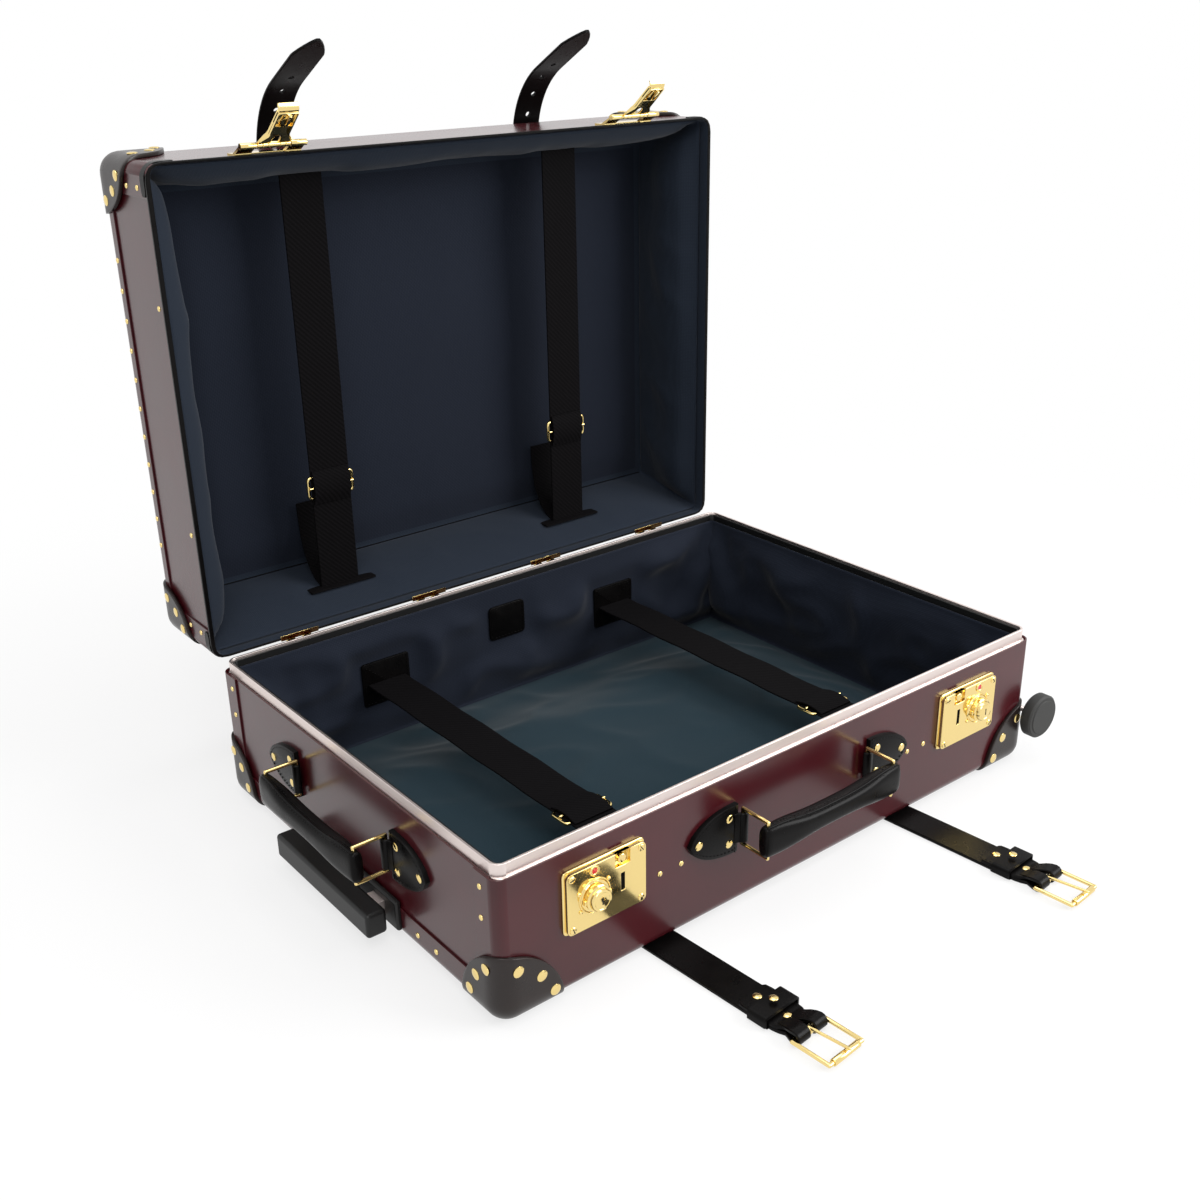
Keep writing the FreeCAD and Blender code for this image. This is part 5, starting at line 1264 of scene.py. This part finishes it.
HASP_LEAN = math.radians(39)
HASP_HALF = ((3.2, 0.0), (13.8, 0.0), (13.6, 4.0), (12.8, 7.0), (11.0, 9.6), (9.2, 11.8), (8.5, 14.5), (8.3, 20.0),
             (8.3, 39.5))
HASP_NOTCH = ((1.0, 11.6), (2.4, 10.4), (3.2, 8.0))
HASP_FLANGE = ((12.9, 4.0, 0.4), (12.0, 7.2, 0.3), (10.2, 9.8, 0.1), (8.4, 12.2, 0.0), (7.7, 15.0, -0.1),
               (7.7, 27.0, -0.1), (7.7, 38.5, -0.1))
HASP_LIP = ((37.5, 0.0), (39.6, -0.2), (41.2, -1.2), (42.4, -3.0), (42.9, -4.8))
KNUCKLES = ((-13.9, -9.6), (-9.3, -5.0), (-4.7, 4.7), (5.0, 9.3), (9.6, 13.9))


def hasp(bm, place):
    """A hasp in its frame: its pin along X, its flap along Y and the lock's side along Z."""
    right = [*HASP_NOTCH, *HASP_HALF]
    outline = [(-a, b) for a, b in HASP_HALF[::-1] + HASP_NOTCH[::-1]] + right
    plate(bm, outline[::-1], 1.6, 0.4, place @ shift(0, 0, -0.9))
    for end in (-1, 1):
        strap(bm, [Vector((end * a, b, c)) for a, b, c in HASP_FLANGE], Z, [1.6, 3, 4, 4.6, 4.8, 4.8, 4.6], 1.2, 0.35,
              place)
    # A bar across the tip, one across the neck, and the staple that enters the lock
    for low, high, edge in (((-8.2, 37.8, -2.4), (8.2, 39.3, 2.1), 0.5), ((-7.2, 23.0, 0.4), (7.2, 24.6, 2.1), 0.4),
                            ((-1.3, 28.4, 0.4), (1.3, 39.2, 5.0), 0.5)):
        block(bm, low, high, edge, 2, place)
    plate(bm, ((-4.6, 26.6), (0.0, 22.6), (4.6, 26.6), (3.6, 37.0), (-3.6, 37.0)), 1.6, 0.5, place @ shift(0, 0, 0.5))
    strap(bm, [Vector((0, a, b)) for a, b in HASP_LIP], X, [16.4, 16.6, 17.0, 17.0, 16.0], 1.8, 0.5, place)
    barrel = [(0.0, KNUCKLES[0][0])]
    for low, high in KNUCKLES:
        barrel += [(1.9, low), (2.4, low + 0.4), (2.4, high - 0.4), (1.9, high)]
    barrel.append((0.0, KNUCKLES[-1][1]))
    lathe(bm, barrel, place @ turned(90, "Y"), 20)


class SUITCASE_OT_hasps(bpy.types.Operator):
    """Hasps with split feet, a channelled neck, a staple and a turned-over lip"""
    bl_idname = "suitcase.hasps"
    bl_label = "Hasps"

    def execute(self, context):
        lean, level = math.sin(HASP_LEAN), math.cos(HASP_LEAN)
        for word in ("left", "right"):
            name = "hasp_" + word
            bm = bmesh.new()
            hasp(bm, facing(pin_of(name), (0, -lean, -level), (0, -level, lean)))
            piece("plated_" + name, bm, "gold", name, (name,))
        return {"FINISHED"}


SLOT_HALF, SLOT_TALL, SLOT_DEEP = 1.75, 7.0, 3.4  # the slot that takes the hasp's staple
MOUTH_HALF, MOUTH_FOOT = 6.5, 13.0  # the notch in the case's upper edge
BACK_PLATE = 1.2
SLOT_X, SCREW_X, SCREW_Z = 13.5, 29.5, 20.0  # from the case's middle


def unplaced(vert):
    """Whether a vertex still stands in the case's own frame, round the origin."""
    return abs(vert.co.x) < 40 and abs(vert.co.y) < 30


def lock_case(bm, slot_x, knob_x, front, place):
    """A plated case on its back plate, with a slot, a notch over it, a collar for the knob and a ringed eye."""
    plate(bm, rectangle(35.0, 25.0, 4.0), 1.6, 0.4, place)
    corners = cube(bm, (67.6, 47.6, front - BACK_PLATE), (0, 0, BACK_PLATE + (front - BACK_PLATE) / 2))
    soften(bm, [e for e in edges_of(corners) if abs(e.verts[0].co.z - e.verts[1].co.z) > 1.0], 4.0, 5)
    geom = [f for f in bm.faces if all(unplaced(v) for v in f.verts)]
    for axis, spot in ((X, slot_x - MOUTH_HALF), (X, slot_x - SLOT_HALF), (X, slot_x + SLOT_HALF),
                       (X, slot_x + MOUTH_HALF), (Y, -SLOT_TALL), (Y, SLOT_TALL), (Y, MOUTH_FOOT)):
        parts = dict.fromkeys(part for face in geom for part in (*face.verts, *face.edges, face))
        made = bmesh.ops.bisect_plane(bm, geom=list(parts), dist=0.001, plane_co=axis * spot, plane_no=axis)
        geom = dict.fromkeys(face for face in new_faces(made) if face.is_valid)
    sunk = []
    for face in geom:
        spot = face.calc_center_median()
        off = abs(spot.x - slot_x)
        in_slot = off < SLOT_HALF and abs(spot.y) < SLOT_TALL
        in_mouth = off < MOUTH_HALF and spot.y > MOUTH_FOOT
        if spot.z > front - 0.1 and (in_slot or in_mouth):
            sunk.append(face)
    made = bmesh.ops.extrude_face_region(bm, geom=sunk)
    bmesh.ops.delete(bm, geom=sunk, context="FACES_ONLY")
    bmesh.ops.translate(bm, vec=(0, 0, -SLOT_DEEP), verts=new_verts(made))
    loose = [v for v in bm.verts if unplaced(v) and v.co.z > 0]
    bmesh.ops.transform(bm, matrix=place, verts=loose)
    lathe(bm, ((0.0, 0.0), (3.6, 0.0), (3.6, 2.6), (3.0, 3.2), (1.2, 3.4), (0.0, 3.2)),
          place @ shift(slot_x, 18.0, 1.5), 24)
    collar = place @ shift(knob_x, 0, front)
    lathe(bm, ((13.4, -0.2), (13.4, 0.5), (12.8, 0.9), (12.3, 0.9), (12.3, -0.2), (13.4, -0.2)), collar, 40)
    for angle in (35, 155, 215):
        lathe(bm, ((0.0, -0.2), (1.5, -0.2), (1.5, 0.6), (1.0, 1.1), (0.0, 1.3)),
              collar @ turned(angle, "Z") @ shift(14.6, 0, 0), 12)
    lathe(bm, ((4.0, -0.1), (4.0, 0.7), (3.4, 1.1), (2.4, 1.0), (2.2, 0.5), (2.2, -0.1), (4.0, -0.1)),
          place @ shift(knob_x, 19.5, front), 28)


def lock_shadows(bm, screws, slot_x, front, place):
    """Near-black blocks as painted shade on the slot's bottom and sides, and four screws with near-black blocks as
    painted shade in their cuts.
    """
    half, tall = SLOT_HALF - 0.05, SLOT_TALL - 0.1
    block(bm, (slot_x - half, -tall, front - 3.3), (slot_x + half, tall, front - 2.8), place=place)
    for end in (-1, 1):
        side = slot_x + end * 1.68
        block(bm, (side - 0.06, -tall, front - 3.0), (side + 0.06, tall, front - 0.5), place=place)
    for a in (-1, 1):
        for b in (-1, 1):
            spot = place @ Vector((a * SCREW_X, b * SCREW_Z, front))
            rivet_head(screws, spot, -Y, 2.7)
            block(bm, (-2.0, -0.3, 0.5), (2.0, 0.3, 1.12),
                  place=facing(spot, -Y) @ Matrix.Rotation(0.5 + a + 0.7 * b, 4, "Z"))


def lock_knob(bm, tall, collar):
    """A stepped knob with two lobes."""
    lathe(bm, ((0.0, -2.0), (11.8, -2.0), (12.0, 0.4), (11.4, 1.2), (9.7, 1.5), (9.5, 2.9), (10.0, 3.3), (10.0, 4.6),
               (9.4, 5.2), (8.5, 5.5), (8.3, tall - 1.4), (7.7, tall - 0.5), (6.5, tall - 0.2), (6.1, tall - 0.5),
               (5.6, tall - 0.3), (0.0, tall - 0.1)), collar, 48)
    for lobe in (-10.2, 10.2):
        block(bm, (lobe - 1.4, -1.8, 0.8), (lobe + 1.4, 1.8, 4.2), 0.6, 2, collar)


class SUITCASE_OT_locks(bpy.types.Operator):
    """Plated lock cases with their slots, screws and stepped knobs"""
    bl_idname = "suitcase.locks"
    bl_label = "Locks"

    def execute(self, context):
        screws = bmesh.new()
        for side, word in SIDES:
            low, high = node_box("lock_case_" + word)
            middle = (low + high) / 2
            knob_low, knob_high = node_box("lock_knob_" + word)
            knob_x = (knob_low.x + knob_high.x) / 2 - middle.x
            slot_x = -side * SLOT_X
            place = facing(Vector((middle.x, high.y, middle.z)), -Y)
            front = high.y - low.y
            collar = place @ shift(knob_x, 0, front)
            tall = high.y - front - knob_low.y
            case, shadows, knob, key_slot = [bmesh.new() for _ in range(4)]
            lock_case(case, slot_x, knob_x, front, place)
            made = piece("plated_lock_case_" + word, case, "gold", "base", ("lock_case_" + word,))
            modify(made, "BEVEL", width=sizes().hard_edge, segments=2, angle_limit=math.radians(SHARP))
            lock_shadows(shadows, screws, slot_x, front, place)
            # Near-black blocks in the slot, painted shade
            piece("lock_slot_shade_" + word, shadows, "shadow", "base")
            lock_knob(knob, tall, collar)
            piece("turned_lock_knob_" + word, knob, "gold", "knob_" + word, ("lock_knob_" + word,))
            # A near-black block in the knob's key slot, painted shade
            block(key_slot, (-0.7, -2.9, tall - 0.6), (0.7, 2.9, tall - 0.05), 0.2, 1, collar)
            piece("key_slot_" + word, key_slot, "shadow", "knob_" + word)
        piece("lock_screws", screws, "gold", "base")
        return {"FINISHED"}


STEPS = (SUITCASE_OT_stage, SUITCASE_OT_solids, SUITCASE_OT_rivets, SUITCASE_OT_corners, SUITCASE_OT_base_lining,
         SUITCASE_OT_lid_lining, SUITCASE_OT_edges, SUITCASE_OT_belts, SUITCASE_OT_lid_belts, SUITCASE_OT_handles,
         SUITCASE_OT_straps, SUITCASE_OT_hasps, SUITCASE_OT_locks)


class SUITCASE_PT_panel(bpy.types.Panel):
    """Sidebar list of the suitcase's steps"""
    bl_idname = "SUITCASE_PT_panel"
    bl_label = "Suitcase"
    bl_space_type = "VIEW_3D"
    bl_region_type = "UI"
    bl_category = "Suitcase"

    def draw(self, context):
        for group in (context.scene.suitcase_sizes, context.scene.suitcase_colours):
            for name in group.__annotations__:
                self.layout.prop(group, name)
        for step in STEPS:
            self.layout.operator(step.bl_idname)


CLASSES = (SuitcaseColours, SuitcaseSizes, *STEPS, SUITCASE_PT_panel)


def register():
    """Add the classes and the scene's settings."""
    for item in CLASSES:
        bpy.utils.register_class(item)
    bpy.types.Scene.suitcase_colours = bpy.props.PointerProperty(type=SuitcaseColours)
    bpy.types.Scene.suitcase_sizes = bpy.props.PointerProperty(type=SuitcaseSizes)


def unregister():
    """Take the settings and the classes away."""
    del bpy.types.Scene.suitcase_sizes
    del bpy.types.Scene.suitcase_colours
    for item in reversed(CLASSES):
        bpy.utils.unregister_class(item)


def main():
    """Build every step in order."""
    register()
    for step in STEPS:
        group, name = step.bl_idname.split(".")
        getattr(getattr(bpy.ops, group), name)()


if __name__ == "__main__":
    main()
